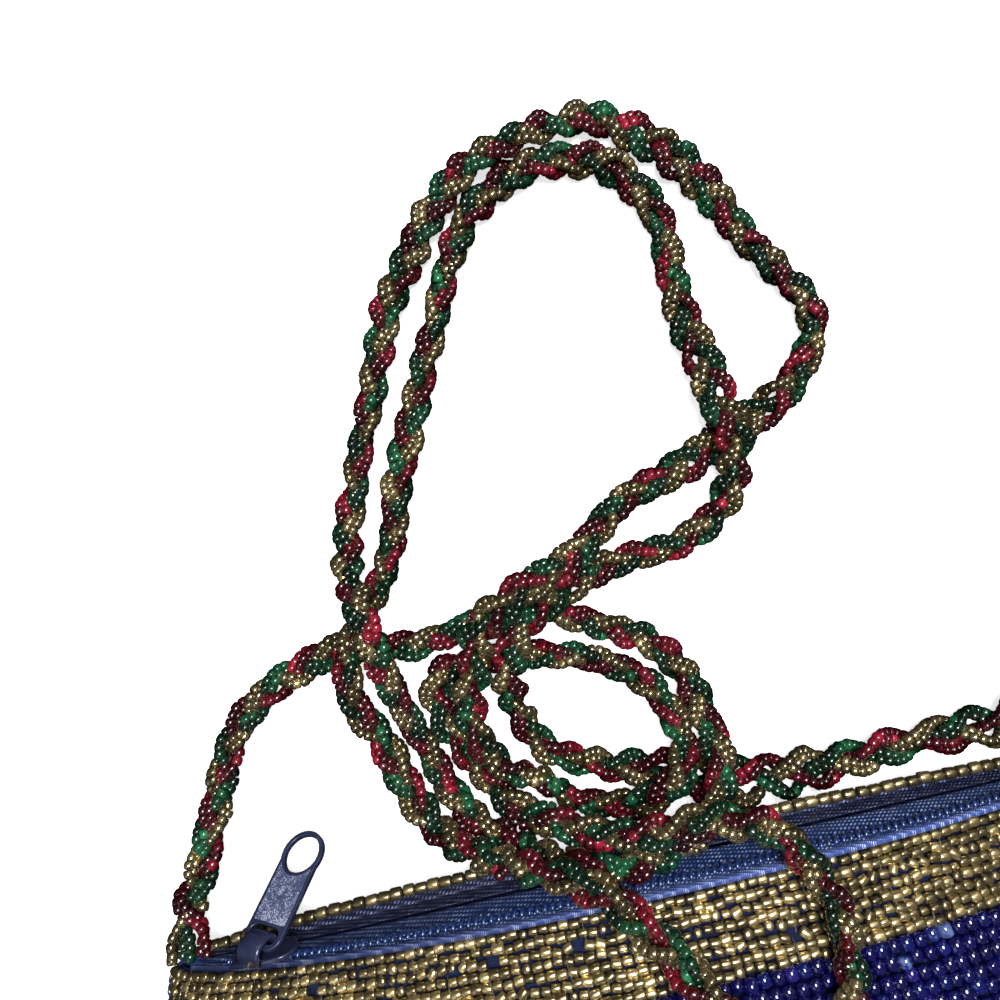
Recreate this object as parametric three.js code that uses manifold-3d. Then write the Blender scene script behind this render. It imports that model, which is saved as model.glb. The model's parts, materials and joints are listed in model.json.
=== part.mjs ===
// Beaded crossbody bag: a puffed zip pouch lying on its back, its plaited strap laid out past the mouth.
// Millimetres. X runs along the mouth, Y points out of the mouth, Z is up off the table.
// The origin is on the table, under the middle of the back panel.
import * as THREE from 'three';
import Module from 'manifold-3d';
import { mergeVertices } from 'three/addons/utils/BufferGeometryUtils.js';

// Pouch
const halfWidth = 84;
const sideFlare = 3.2;
const flareLength = 14;
const bottomY = -70;
const lipY = 68.3;
const cornerRadius = 22;
const crownY = 10;
const crownZ = 32;
const frontLipZ = 20.5;
const sideSeamZ = 3.2;
const mouthSeamZ = 6;
const seamRiseStart = 40;
const beadedWall = 2.2;
const satinWall = 1.6;
const puffPower = 2.2;
const puffRoundness = 0.6;
const lipFallPower = 3;
const gap = 0.3;
const seamGap = 0.7;

// Back lip and its bead string
const backLiftStart = 52;
const backLipBulge = 5.2;
const backLipRise = 2.3;
const backLipPower = 2.6;
const backLipRoundness = 0.45;
const rimBeadRadius = 0.95;
const rimHalfLength = 82;
const rimSides = 6;
const rimSteps = 44;
const rimSetBack = rimBeadRadius / 2;

// Zip: each strip is a share of the slope from the back lip (0) to the front lip (1)
const zipHalfLength = 73;
const zipSetBack = 3 * rimBeadRadius;
const stripThickness = 1;
const zipStrips = [
  { name: 'back_facing', from: 0.02, to: 0.2, look: 'navySatin' },
  { name: 'zip_tape_back', from: 0.23, to: 0.63, look: 'zipTape' },
  { name: 'zip_coil', from: 0.65, to: 0.8, look: 'zipCoil' },
  { name: 'zip_tape_front', from: 0.82, to: 0.86, look: 'zipTape' },
  { name: 'front_facing', from: 0.88, to: 0.99, look: 'blueSatin' },
];

// Slider and pull tab
const sliderX = -66;
const sliderLength = 9;
const sliderHeadWidth = 5.6;
const sliderTailWidth = 4.4;
const sliderPlate = 0.8;
const hingeLift = 2.5;
const hingeRise = 0.8;
const bridgeWidth = 3;
const bridgeSpan = 4.6;
const bridgeBand = 0.7;
const bridgeFoot = 1.6;
const bridgeClearance = 0.7;
const crossbarRadius = 0.5;
const tabLength = 18.8;
const tabWidth = 6.8;
const tabThickness = 1;
const tabEndRadius = 3.7;
const tabHoleRadius = 2.95;
const tabWindowWidth = 5.2;
const tabWindowLength = 2.9;
const tabWindowRadius = 1.4;
const tabFootRadius = 2.4;
const tabDirection = new THREE.Vector3(0.447, 0.6, -0.664).normalize();
const tabHingeAxis = new THREE.Vector3(0.887, -0.2, 0.416).projectOnPlane(tabDirection).normalize();

// Strap: a flat plait of bead strings, drawn as an oval tube with its flat side level
const strapHalfWidth = 2.6;
const strapHalfHeight = 2.1;
const strapSides = 10;
const strapSteps = 80;
const strapJoinGap = 0.3;
const strapMeasureSteps = 4000;

// Strap route in the order that the plait runs: x, y, z of its centre line
const strapStretches = {
  leftRise: [
    [-79.6, 73.2, 6.5], [-79.8, 76, 4.5], [-78, 80, 2.8], [-74.2, 88, 2.5], [-66, 103.5, 2.5],
    [-52, 112, 2.5],
  ],
  underCrossing: [
    [-43, 112.8, 2.5], [-33.5, 111, 2.5], [-21, 113, 2.5], [-15.5, 113, 2.5],
  ],
  outerRing: [
    [-9, 111, 2.5], [-1, 107.5, 2.5], [6, 103, 2.5], [10.5, 96.5, 2.5], [13, 89.5, 3],
    [13.2, 83.5, 6], [11.5, 78.7, 9.2],
  ],
  overZip: [
    [8.2, 75.6, 12.5], [3, 73.6, 15], [-3, 72.8, 16.1], [-9, 72.6, 16.1], [-14, 73.4, 15.3],
    [-19, 75.1, 13], [-24.5, 77.2, 8],
  ],
  outwardLeg: [
    [-30, 81, 3.8], [-32.9, 87, 2.5], [-35.3, 94, 2.5], [-37, 101, 3.6], [-38, 108, 7.6],
    [-38.2, 114, 11],
  ],
  outerLoop: [
    [-38.8, 119.5, 12], [-40.3, 125.5, 7.4], [-39.8, 132, 3.2], [-36.2, 141, 2.5], [-27.5, 162, 2.5],
    [-20.5, 174.2, 2.5], [-12.6, 183.4, 3.5], [-7.3, 187.2, 4.7], [-2.3, 189.8, 4.8],
    [8.8, 192.1, 4.3], [17.9, 191.8, 2.6], [25.4, 187.3, 2.5], [30.8, 180.8, 2.5],
    [40.3, 163.3, 2.5], [45.2, 155.6, 2.5], [46, 148.4, 2.5],
    [42, 142, 2.5], [35.5, 137, 2.5], [20.5, 131.5, 2.5], [6, 126, 3.5], [-1, 121.8, 6.5],
    [-7.5, 118.7, 10.5], [-13.5, 116.7, 12.8], [-18.2, 114.5, 12.2],
  ],
  middleLeg: [
    [-21.8, 111, 9.8], [-23.4, 106.5, 8.2], [-25, 102, 7.4], [-25.5, 97, 7.6], [-24.2, 92, 7.8],
  ],
  underPile: [
    [-21.6, 88.2, 7.8], [-16.9, 84.5, 5.6], [-12, 79.6, 3.2], [-6, 76.9, 2.9], [-1, 76.7, 4.8],
    [2.8, 78.5, 7.6],
  ],
  innerRing: [
    [5.8, 81.5, 8.6], [7.8, 86, 5.5], [7, 91, 3], [3.5, 97, 2.5], [-3, 101.5, 2.5],
    [-10.5, 104, 2.5], [-17.5, 105.5, 2.5],
  ],
  innerTurn: [
    [-24, 106, 2.5], [-29, 105, 2.5], [-31, 101.5, 2.5], [-30.3, 97, 2.5], [-29, 93, 2.5],
    [-26.7, 88.6, 2.5],
  ],
  overPile: [
    [-24.6, 84, 2.8], [-21.2, 80.5, 6], [-16, 79.9, 12.2], [-10, 79, 17], [-4, 78.2, 19.4],
    [3, 78.6, 20.6], [9, 78.4, 21.2],
  ],
  rightDrape: [
    [13.5, 77, 21.5], [17.2, 73.6, 22], [19.4, 69.3, 22.6], [20.4, 64.8, 24.5], [20.3, 59.8, 26.8],
    [18.9, 54.1, 28.9],
  ],
  turnOnFront: [
    [16, 49.6, 30.5], [11.4, 47.3, 31.2], [6.3, 48.7, 31], [3.2, 52.4, 30],
  ],
  leftDrape: [
    [0.5, 56.2, 28.7], [-2.3, 61.4, 26.5], [-5.1, 65.7, 24.4], [-8.2, 69.5, 22.9], [-12, 73, 21.9],
    [-16.8, 75.4, 20.6], [-22, 76.6, 17.6], [-27.5, 77.2, 12.6], [-33.2, 78, 6.9], [-37, 81.2, 3.4],
  ],
  returnLeg: [
    [-39.3, 86, 2.5], [-40.4, 91.5, 2.5], [-42.5, 97.5, 2.7], [-44.5, 103, 4.6], [-44.5, 108.5, 7.2],
    [-43, 113.3, 7.6], [-40, 117.6, 6.6],
  ],
  innerLoop: [
    [-37, 121.3, 4.4], [-34, 126.5, 2.5], [-28.5, 141, 2.5], [-18.8, 160.8, 2.5], [-10.4, 177.1, 2.5],
    [-4.5, 183.3, 2.5], [4, 186.5, 2.5], [13.5, 186.3, 2.5], [20, 182.5, 2.5], [23.5, 175.5, 2.5],
    [25, 157.5, 2.5], [25.3, 148.1, 4.8], [25.7, 140.6, 7.8], [27.1, 133.5, 8], [26.2, 126.7, 4.6],
    [21.9, 121, 2.5], [15.5, 118, 2.5], [8.5, 117.2, 2.5], [1, 116.8, 3.2], [-6, 114.8, 6],
    [-12, 112.6, 8],
  ],
  rightLeg: [
    [-16, 109.3, 8], [-18, 105.3, 8], [-18.4, 99.5, 5.2], [-17.4, 93.5, 2.6], [-14.8, 89, 2.5],
    [-10.3, 85.6, 2.5],
  ],
  rightRun: [
    [-4.3, 83, 2.5], [3, 80.6, 2.5], [10.3, 77.3, 2.5], [17.8, 75.7, 2.5], [28, 75, 2.5],
    [46.5, 75.2, 2.5], [65, 75.4, 2.5], [76, 75.4, 3.8], [81, 73.2, 6.5],
  ],
};
const strapSplitAfter = 'innerRing';

const looks = {
  beadedBlue: { color: 0x14106e, roughness: 0.25, metalness: 0.1 },
  blueSatin: { color: 0x3c55a5, roughness: 0.4, metalness: 0 },
  navySatin: { color: 0x192350, roughness: 0.45, metalness: 0 },
  zipTape: { color: 0x1b2654, roughness: 0.7, metalness: 0 },
  zipCoil: { color: 0x27336b, roughness: 0.4, metalness: 0 },
  navyEnamel: { color: 0x2b3262, roughness: 0.3, metalness: 0.6 },
  goldBead: { color: 0x86703c, roughness: 0.2, metalness: 0.3 },
  strapBead: { color: 0x5c1a24, roughness: 0.2, metalness: 0.1 },
};

const group = new THREE.Group();
const wasm = await Module();
wasm.setup();

function addPiece(name, geometry, look) {
  const mesh = new THREE.Mesh(geometry, new THREE.MeshStandardMaterial(looks[look]));
  mesh.name = name;
  group.add(mesh);
  return mesh;
}

// Closed mesh from points and triangles
function geometryFrom(points, triangles) {
  const geometry = new THREE.BufferGeometry();
  geometry.setAttribute('position', new THREE.Float32BufferAttribute(points.flat(), 3));
  geometry.setIndex(triangles);
  geometry.computeVertexNormals();
  return geometry;
}

// Thin wall between two grids of points, given as rows; the outer grid faces out
function wallGeometry(outer, inner) {
  const rows = outer.length;
  const columns = outer[0].length;
  const last = columns - 1;
  const end = rows - 1;
  const points = [...outer.flat(), ...inner.flat()];
  const outerAt = (row, column) => row * columns + column;
  const innerAt = (row, column) => rows * columns + row * columns + column;
  const triangles = [];
  const quad = (a, b, c, d) => triangles.push(a, b, c, a, c, d);
  for (let row = 0; row < end; row += 1) {
    for (let column = 0; column < last; column += 1) {
      const next = column + 1;
      quad(outerAt(row, column), outerAt(row, next), outerAt(row + 1, next), outerAt(row + 1, column));
      quad(innerAt(row, column), innerAt(row + 1, column), innerAt(row + 1, next), innerAt(row, next));
    }
    quad(outerAt(row, 0), outerAt(row + 1, 0), innerAt(row + 1, 0), innerAt(row, 0));
    quad(outerAt(row, last), innerAt(row, last), innerAt(row + 1, last), outerAt(row + 1, last));
  }
  for (let column = 0; column < last; column += 1) {
    const next = column + 1;
    quad(outerAt(0, column), innerAt(0, column), innerAt(0, next), outerAt(0, next));
    quad(outerAt(end, column), outerAt(end, next), innerAt(end, next), innerAt(end, column));
  }
  return geometryFrom(points, triangles);
}

function toSolid(geometry) {
  const bare = geometry.index ? geometry.clone() : geometry;
  bare.deleteAttribute('normal');
  bare.deleteAttribute('uv');
  const merged = mergeVertices(bare, 1e-4);
  const mesh = new wasm.Mesh({
    numProp: 3,
    vertProperties: new Float32Array(merged.attributes.position.array),
    triVerts: new Uint32Array(merged.index.array),
  });
  return new wasm.Manifold(mesh);
}

function fromSolid(solid) {
  const mesh = solid.getMesh();
  const geometry = new THREE.BufferGeometry();
  geometry.setAttribute('position', new THREE.Float32BufferAttribute(mesh.vertProperties, 3));
  geometry.setIndex(Array.from(mesh.triVerts));
  geometry.computeVertexNormals();
  return geometry;
}

// Pouch surface: the outline flares below the mouth and narrows over the bottom corners
function outlineHalfWidth(y, inset) {
  const belowMouth = THREE.MathUtils.clamp((lipY - y) / flareLength, 0, 1);
  const side = halfWidth + sideFlare * (1 - (1 - belowMouth) ** 2);
  const belowCorner = bottomY + cornerRadius - y;
  const rounding = cornerRadius - inset;
  if (belowCorner <= 0) {
    return side - inset;
  }
  return side - cornerRadius + Math.sqrt(Math.max(0, rounding ** 2 - belowCorner ** 2));
}

// The seam between front and back climbs to the mouth
function seamZ(y) {
  return sideSeamZ + (mouthSeamZ - sideSeamZ) * THREE.MathUtils.smoothstep(y, seamRiseStart, lipY);
}

function puff(share, power, roundness) {
  return Math.max(0, 1 - Math.abs(share) ** power) ** roundness;
}

function crownAt(y, inset) {
  const top = crownZ - inset;
  if (y > crownY) {
    const share = (y - crownY) / (lipY - crownY);
    return frontLipZ - inset + (crownZ - frontLipZ) * (1 - share ** lipFallPower);
  }
  const share = (crownY - y) / (crownY - bottomY - inset);
  return seamZ(y) + (top - seamZ(y)) * puff(share, puffPower, puffRoundness);
}

function frontPoint(across, y, inset) {
  const reach = outlineHalfWidth(y, inset);
  const seam = seamZ(y);
  const z = seam + (crownAt(y, inset) - seam) * puff(across, puffPower, puffRoundness);
  return [reach * across, y, z];
}

function frontPanel() {
  const acrossSteps = 22;
  const lowerSteps = 9;
  const upperSteps = 8;
  const quarterTurn = Math.PI / 2;
  const face = (inset) => {
    const rows = [];
    for (let step = 0; step <= lowerSteps + upperSteps; step += 1) {
      const below = lowerSteps - step;
      const lower = crownY - (crownY - bottomY - inset) * Math.sin(quarterTurn * below / lowerSteps);
      const upper = crownY + (lipY - crownY) * -below / upperSteps;
      const y = below > 0 ? lower : upper;
      const row = [];
      for (let column = 0; column <= acrossSteps; column += 1) {
        const across = Math.sin(quarterTurn * (2 * column / acrossSteps - 1));
        row.push(frontPoint(across, y, inset));
      }
      rows.push(row);
    }
    return rows;
  };
  return wallGeometry(face(0), face(beadedWall));
}

// Back lip: bulges past the front lip and lifts off the table
function backLip(x) {
  const share = puff(x / halfWidth, backLipPower, backLipRoundness);
  return { y: lipY + backLipBulge * share, z: mouthSeamZ - seamGap + backLipRise * share };
}

function frontLip(x) {
  return { y: lipY, z: frontPoint(x / halfWidth, lipY, 0)[2] };
}

function backPanel() {
  const acrossShares = [-1, -0.95, -0.9, -0.82, -0.6, -0.3, 0, 0.3, 0.6, 0.82, 0.9, 0.95, 1];
  const cornerShares = [0, 0.18, 0.41, 0.73, 1];
  const flatShares = [0.28, 0.6, 0.84, 1];
  const liftShares = [0.25, 0.5, 0.75, 0.9, 1];
  const bottomFade = 14;
  const sideFade = 0.82;
  const underside = (share, y) => {
    const side = THREE.MathUtils.smoothstep(Math.abs(share), sideFade, 1);
    const bottom = 1 - THREE.MathUtils.smoothstep(y, bottomY, bottomY + bottomFade);
    const edge = 1 - (1 - side) * (1 - bottom);
    return edge * (seamZ(y) - seamGap - satinWall);
  };
  const cornerTop = bottomY + cornerRadius;
  const rowsY = cornerShares.map((share) => bottomY + share * cornerRadius);
  flatShares.forEach((share) => rowsY.push(cornerTop + share * (backLiftStart - cornerTop)));
  const rows = rowsY.map((y) => acrossShares.map((share) => {
    return [share * outlineHalfWidth(y, 0), y, underside(share, y)];
  }));
  liftShares.forEach((lift) => {
    rows.push(acrossShares.map((share) => {
      const lip = backLip(share * halfWidth);
      const y = backLiftStart + (lip.y - backLiftStart) * lift;
      const low = underside(share, Math.min(y, lipY)) * (1 - lift ** 2);
      return [share * outlineHalfWidth(y, 0), y, low + (lip.z - satinWall) * lift ** 2];
    }));
  });
  const top = rows.map((row) => row.map(([x, y, z]) => [x, y, z + satinWall]));
  return wallGeometry(top, rows);
}

// A tube with an oval section and closed ends along a curve
function tube(curve, halfAcross, halfUp, sides, steps) {
  const corners = [];
  for (let side = 0; side < sides; side += 1) {
    const angle = 2 * Math.PI * side / sides;
    corners.push(new THREE.Vector2(halfAcross * Math.cos(angle), halfUp * Math.sin(angle)));
  }
  const section = new THREE.Shape(corners);
  return new THREE.ExtrudeGeometry(section, { steps, bevelEnabled: false, extrudePath: curve });
}

function backRim() {
  const points = [];
  const turns = 14;
  for (let step = 0; step <= turns; step += 1) {
    const x = rimHalfLength * Math.sin(Math.PI * (step / turns - 0.5));
    const lip = backLip(x);
    points.push(new THREE.Vector3(x, lip.y - rimSetBack, lip.z + rimBeadRadius + gap));
  }
  const curve = new THREE.CatmullRomCurve3(points);
  return tube(curve, rimBeadRadius, rimBeadRadius, rimSides, rimSteps);
}

// Slope of the zip at x: from inside the back rim up to just outside the front wall's end
function zipSlope(x) {
  const back = backLip(x);
  const front = frontLip(x);
  const clearY = front.y + gap + stripThickness;
  const footY = Math.max(back.y - zipSetBack, clearY + gap);
  const foot = new THREE.Vector3(x, footY, back.z + gap + stripThickness);
  const head = new THREE.Vector3(x, clearY, front.z - gap);
  const along = head.clone().sub(foot);
  const out = new THREE.Vector3(0, along.z, -along.y).normalize();
  return { foot, along, out };
}

function zipStrip(from, to) {
  const slices = 26;
  const outer = [];
  const inner = [];
  for (let slice = 0; slice <= slices; slice += 1) {
    const x = zipHalfLength * Math.sin(Math.PI * (slice / slices - 0.5));
    const { foot, along, out } = zipSlope(x);
    const low = foot.clone().addScaledVector(along, from);
    const high = foot.clone().addScaledVector(along, to);
    outer.push([low.toArray(), high.toArray()]);
    inner.push([low, high].map((point) => point.clone().addScaledVector(out, -stripThickness).toArray()));
  }
  return wallGeometry(outer, inner);
}

// Frame on the zip at the slider, and the hinge of its pull
function sliderFrame() {
  const coil = zipStrips.find((strip) => strip.name === 'zip_coil');
  const { foot, along, out } = zipSlope(sliderX);
  const seat = foot.clone().addScaledVector(along, (coil.from + coil.to) / 2);
  const down = along.clone().normalize().negate();
  const upright = new THREE.Matrix4().makeBasis(new THREE.Vector3(1, 0, 0), down, out);
  const hinge = seat.clone().addScaledVector(out, hingeLift).addScaledVector(down, -hingeRise);
  return { seat, upright, hinge, out };
}

// Turns local X to the hinge axis, Y along the tab and Z to its upper face
function hingeBasis() {
  const face = new THREE.Vector3().crossVectors(tabHingeAxis, tabDirection);
  return new THREE.Matrix4().makeBasis(tabHingeAxis, tabDirection, face);
}

function zipSlider() {
  const { seat, upright, hinge, out } = sliderFrame();
  const plateShape = new THREE.Shape();
  plateShape.moveTo(-sliderLength / 2, -sliderTailWidth / 2);
  plateShape.lineTo(sliderLength / 4, -sliderHeadWidth / 2);
  const noseX = sliderLength / 2 - sliderHeadWidth / 4;
  plateShape.absarc(noseX, 0, sliderHeadWidth / 2, -Math.PI / 2, Math.PI / 2);
  plateShape.lineTo(-sliderLength / 2, sliderTailWidth / 2);
  plateShape.closePath();
  const plateDepth = { depth: sliderPlate, bevelEnabled: false, curveSegments: 5 };
  const plate = new THREE.ExtrudeGeometry(plateShape, plateDepth);
  plate.applyMatrix4(upright);
  const plateSeat = seat.clone().addScaledVector(out, gap);
  plate.translate(plateSeat.x, plateSeat.y, plateSeat.z);
  // Arched bridge over the crossbar, with its feet sunk into the plate
  const bridgeShape = new THREE.Shape();
  const reach = bridgeSpan / 2;
  const inside = reach - bridgeBand;
  const archRise = crossbarRadius + bridgeClearance;
  bridgeShape.moveTo(-reach, -bridgeFoot);
  bridgeShape.lineTo(-inside, -bridgeFoot);
  bridgeShape.lineTo(-inside, 0);
  bridgeShape.absellipse(0, 0, inside, archRise, Math.PI, 0, true);
  bridgeShape.lineTo(inside, -bridgeFoot);
  bridgeShape.lineTo(reach, -bridgeFoot);
  bridgeShape.lineTo(reach, 0);
  bridgeShape.absellipse(0, 0, reach, archRise + bridgeBand, 0, Math.PI, false);
  bridgeShape.closePath();
  const bridgeDepth = { depth: bridgeWidth, bevelEnabled: false, curveSegments: 8 };
  const bridge = new THREE.ExtrudeGeometry(bridgeShape, bridgeDepth);
  bridge.translate(0, 0, -bridgeWidth / 2);
  const outward = out.clone().addScaledVector(tabHingeAxis, -out.dot(tabHingeAxis)).normalize();
  const lengthwise = new THREE.Vector3().crossVectors(outward, tabHingeAxis);
  bridge.applyMatrix4(new THREE.Matrix4().makeBasis(lengthwise, outward, tabHingeAxis));
  bridge.translate(hinge.x, hinge.y, hinge.z);
  return fromSolid(toSolid(plate).add(toSolid(bridge)));
}

// Window with rounded corners, centred on X
function roundedWindow(half, low, high, radius) {
  const path = new THREE.Path();
  path.absarc(half - radius, low + radius, radius, -Math.PI / 2, 0, false);
  path.absarc(half - radius, high - radius, radius, 0, Math.PI / 2, false);
  path.absarc(radius - half, high - radius, radius, Math.PI / 2, Math.PI, false);
  path.absarc(radius - half, low + radius, radius, Math.PI, 1.5 * Math.PI, false);
  path.closePath();
  return path;
}

function zipPull() {
  const outline = new THREE.Shape();
  const half = tabWidth / 2;
  const holeY = tabLength - tabEndRadius;
  const endAngle = Math.acos(half / tabEndRadius);
  const footX = half - tabFootRadius;
  const footY = tabFootRadius - crossbarRadius;
  outline.absarc(footX, footY, tabFootRadius, -Math.PI / 2, 0, false);
  outline.absarc(0, holeY, tabEndRadius, -endAngle, Math.PI + endAngle, false);
  outline.absarc(-footX, footY, tabFootRadius, Math.PI, 1.5 * Math.PI, false);
  outline.closePath();
  const hole = new THREE.Path();
  hole.absarc(0, holeY, tabHoleRadius, 0, 2 * Math.PI, true);
  const windowTop = crossbarRadius + tabWindowLength;
  const slot = roundedWindow(tabWindowWidth / 2, crossbarRadius, windowTop, tabWindowRadius);
  outline.holes.push(hole, slot);
  const tabDepth = { depth: tabThickness, bevelEnabled: false, curveSegments: 12 };
  const tab = new THREE.ExtrudeGeometry(outline, tabDepth);
  tab.translate(0, 0, -tabThickness / 2);
  return tab;
}

function strapCurve(route) {
  const points = route.map((place) => new THREE.Vector3(...place));
  return new THREE.CatmullRomCurve3(points, false, 'centripetal');
}

// A stretch of a longer curve between two shares of its length; its frames stay level
class CurveStretch extends THREE.Curve {
  constructor(whole, from, to) {
    super();
    this.whole = whole;
    this.from = from;
    this.to = to;
  }

  getPoint(share, target = new THREE.Vector3()) {
    return this.whole.getPointAt(this.from + (this.to - this.from) * share, target);
  }

  computeFrenetFrames(segments) {
    const up = new THREE.Vector3(0, 0, 1);
    const frames = { tangents: [], normals: [], binormals: [] };
    for (let step = 0; step <= segments; step += 1) {
      const tangent = this.getTangentAt(step / segments);
      const across = new THREE.Vector3().crossVectors(up, tangent).normalize();
      frames.tangents.push(tangent);
      frames.normals.push(across);
      frames.binormals.push(new THREE.Vector3().crossVectors(tangent, across));
    }
    return frames;
  }
}

function strapHalves() {
  const names = Object.keys(strapStretches);
  const splitAt = names.indexOf(strapSplitAfter) + 1;
  const route = names.flatMap((name) => strapStretches[name]);
  const spansBefore = names.slice(0, splitAt).flatMap((name) => strapStretches[name]).length - 1;
  const whole = strapCurve(route);
  whole.arcLengthDivisions = strapMeasureSteps;
  const lengths = whole.getLengths();
  const length = lengths[strapMeasureSteps];
  const splitLength = lengths[Math.round(spansBefore / (route.length - 1) * strapMeasureSteps)];
  const halfGap = strapJoinGap / 2;
  return [
    { name: 'strap_left', curve: new CurveStretch(whole, 0, (splitLength - halfGap) / length) },
    { name: 'strap_right', curve: new CurveStretch(whole, (splitLength + halfGap) / length, 1) },
  ];
}

addPiece('front_panel', frontPanel(), 'beadedBlue');
addPiece('back_panel', backPanel(), 'blueSatin');
addPiece('back_rim_beads', backRim(), 'goldBead');
zipStrips.forEach((strip) => addPiece(strip.name, zipStrip(strip.from, strip.to), strip.look));
addPiece('zip_slider', zipSlider(), 'navyEnamel');
const pull = addPiece('zip_pull', zipPull(), 'navyEnamel');
pull.quaternion.setFromRotationMatrix(hingeBasis());
pull.position.copy(sliderFrame().hinge);
strapHalves().forEach(({ name, curve }) => {
  addPiece(name, tube(curve, strapHalfWidth, strapHalfHeight, strapSides, strapSteps), 'strapBead');
});

export default group;
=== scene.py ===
"""Beaded crossbody bag: beads, satin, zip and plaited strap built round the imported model."""
import json
import math

import bmesh
import bpy
import numpy as np
from bpy.props import FloatProperty, FloatVectorProperty, IntProperty, PointerProperty
from mathutils import Matrix, Vector


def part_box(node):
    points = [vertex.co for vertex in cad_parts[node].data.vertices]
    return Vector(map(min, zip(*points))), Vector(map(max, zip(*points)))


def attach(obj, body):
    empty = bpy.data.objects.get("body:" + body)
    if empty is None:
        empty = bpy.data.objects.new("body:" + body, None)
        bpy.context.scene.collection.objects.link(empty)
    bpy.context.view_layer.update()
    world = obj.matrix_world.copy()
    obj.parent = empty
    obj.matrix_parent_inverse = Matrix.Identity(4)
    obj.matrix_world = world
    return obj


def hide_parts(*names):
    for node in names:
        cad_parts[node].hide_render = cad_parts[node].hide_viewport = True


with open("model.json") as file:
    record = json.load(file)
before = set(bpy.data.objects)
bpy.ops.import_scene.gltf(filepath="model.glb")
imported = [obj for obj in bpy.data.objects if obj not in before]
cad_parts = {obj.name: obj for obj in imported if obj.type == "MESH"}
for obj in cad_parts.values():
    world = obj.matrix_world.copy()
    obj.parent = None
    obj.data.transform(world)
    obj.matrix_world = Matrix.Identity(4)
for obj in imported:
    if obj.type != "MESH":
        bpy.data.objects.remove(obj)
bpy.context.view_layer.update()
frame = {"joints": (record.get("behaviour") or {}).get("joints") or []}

bl_info = {
    "name": "Beaded crossbody bag",
    "version": (1, 0, 0),
    "blender": (4, 5, 0),
    "location": "View3D > Sidebar > Beaded bag",
    "description": "Dresses the bag's frame with beads, satin, a zip and a plaited bead strap",
    "category": "Object",
}

BAG = "bag"
PULL = "pull"
MM = 0.001
UP = np.array([0.0, 0.0, 1.0])

# Pouch sizes, in metres; the frame gives the outer ones
FRONT_LOW, FRONT_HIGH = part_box("front_panel")
HALF_WIDTH = FRONT_HIGH[0]
MOUTH_HALF_WIDTH = 84 * MM
FLARE_LENGTH = 14 * MM
BOTTOM_Y = FRONT_LOW[1]
LIP_Y = FRONT_HIGH[1]
CROWN_Z = FRONT_HIGH[2]
SIDE_SEAM_Z = FRONT_LOW[2]
CORNER_RADIUS = 22 * MM
CROWN_Y = 10 * MM
FRONT_LIP_Z = 20.5 * MM
MOUTH_SEAM_Z = 6 * MM
SEAM_RISE_START = 40 * MM
SEAM_GAP = 0.7 * MM
PUFF_POWER = 2.2
PUFF_ROUNDNESS = 0.6
LIP_FALL_POWER = 3
SATIN_WALL = 1.6 * MM

# Back lip and zip slope
BACK_LIFT_START = 52 * MM
BACK_LIP_BULGE = 5.2 * MM
BACK_LIP_RISE = 2.3 * MM
BACK_LIP_POWER = 2.6
BACK_LIP_ROUNDNESS = 0.45
LIP_SAG = 1.3 * MM
RIM_RADIUS = 0.95 * MM
STRIP_THICKNESS = 1 * MM
GAP = 0.3 * MM
ZIP_SHARES = {
    "back_facing": (0.02, 0.2),
    "zip_tape_back": (0.23, 0.63),
    "zip_coil": (0.65, 0.8),
    "zip_tape_front": (0.82, 0.86),
    "front_facing": (0.88, 0.99),
}

# Slider and pull
SLIDER_X = -66 * MM
TAB_DIRECTION = Vector((0.447, 0.6, -0.664)).normalized()

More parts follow.
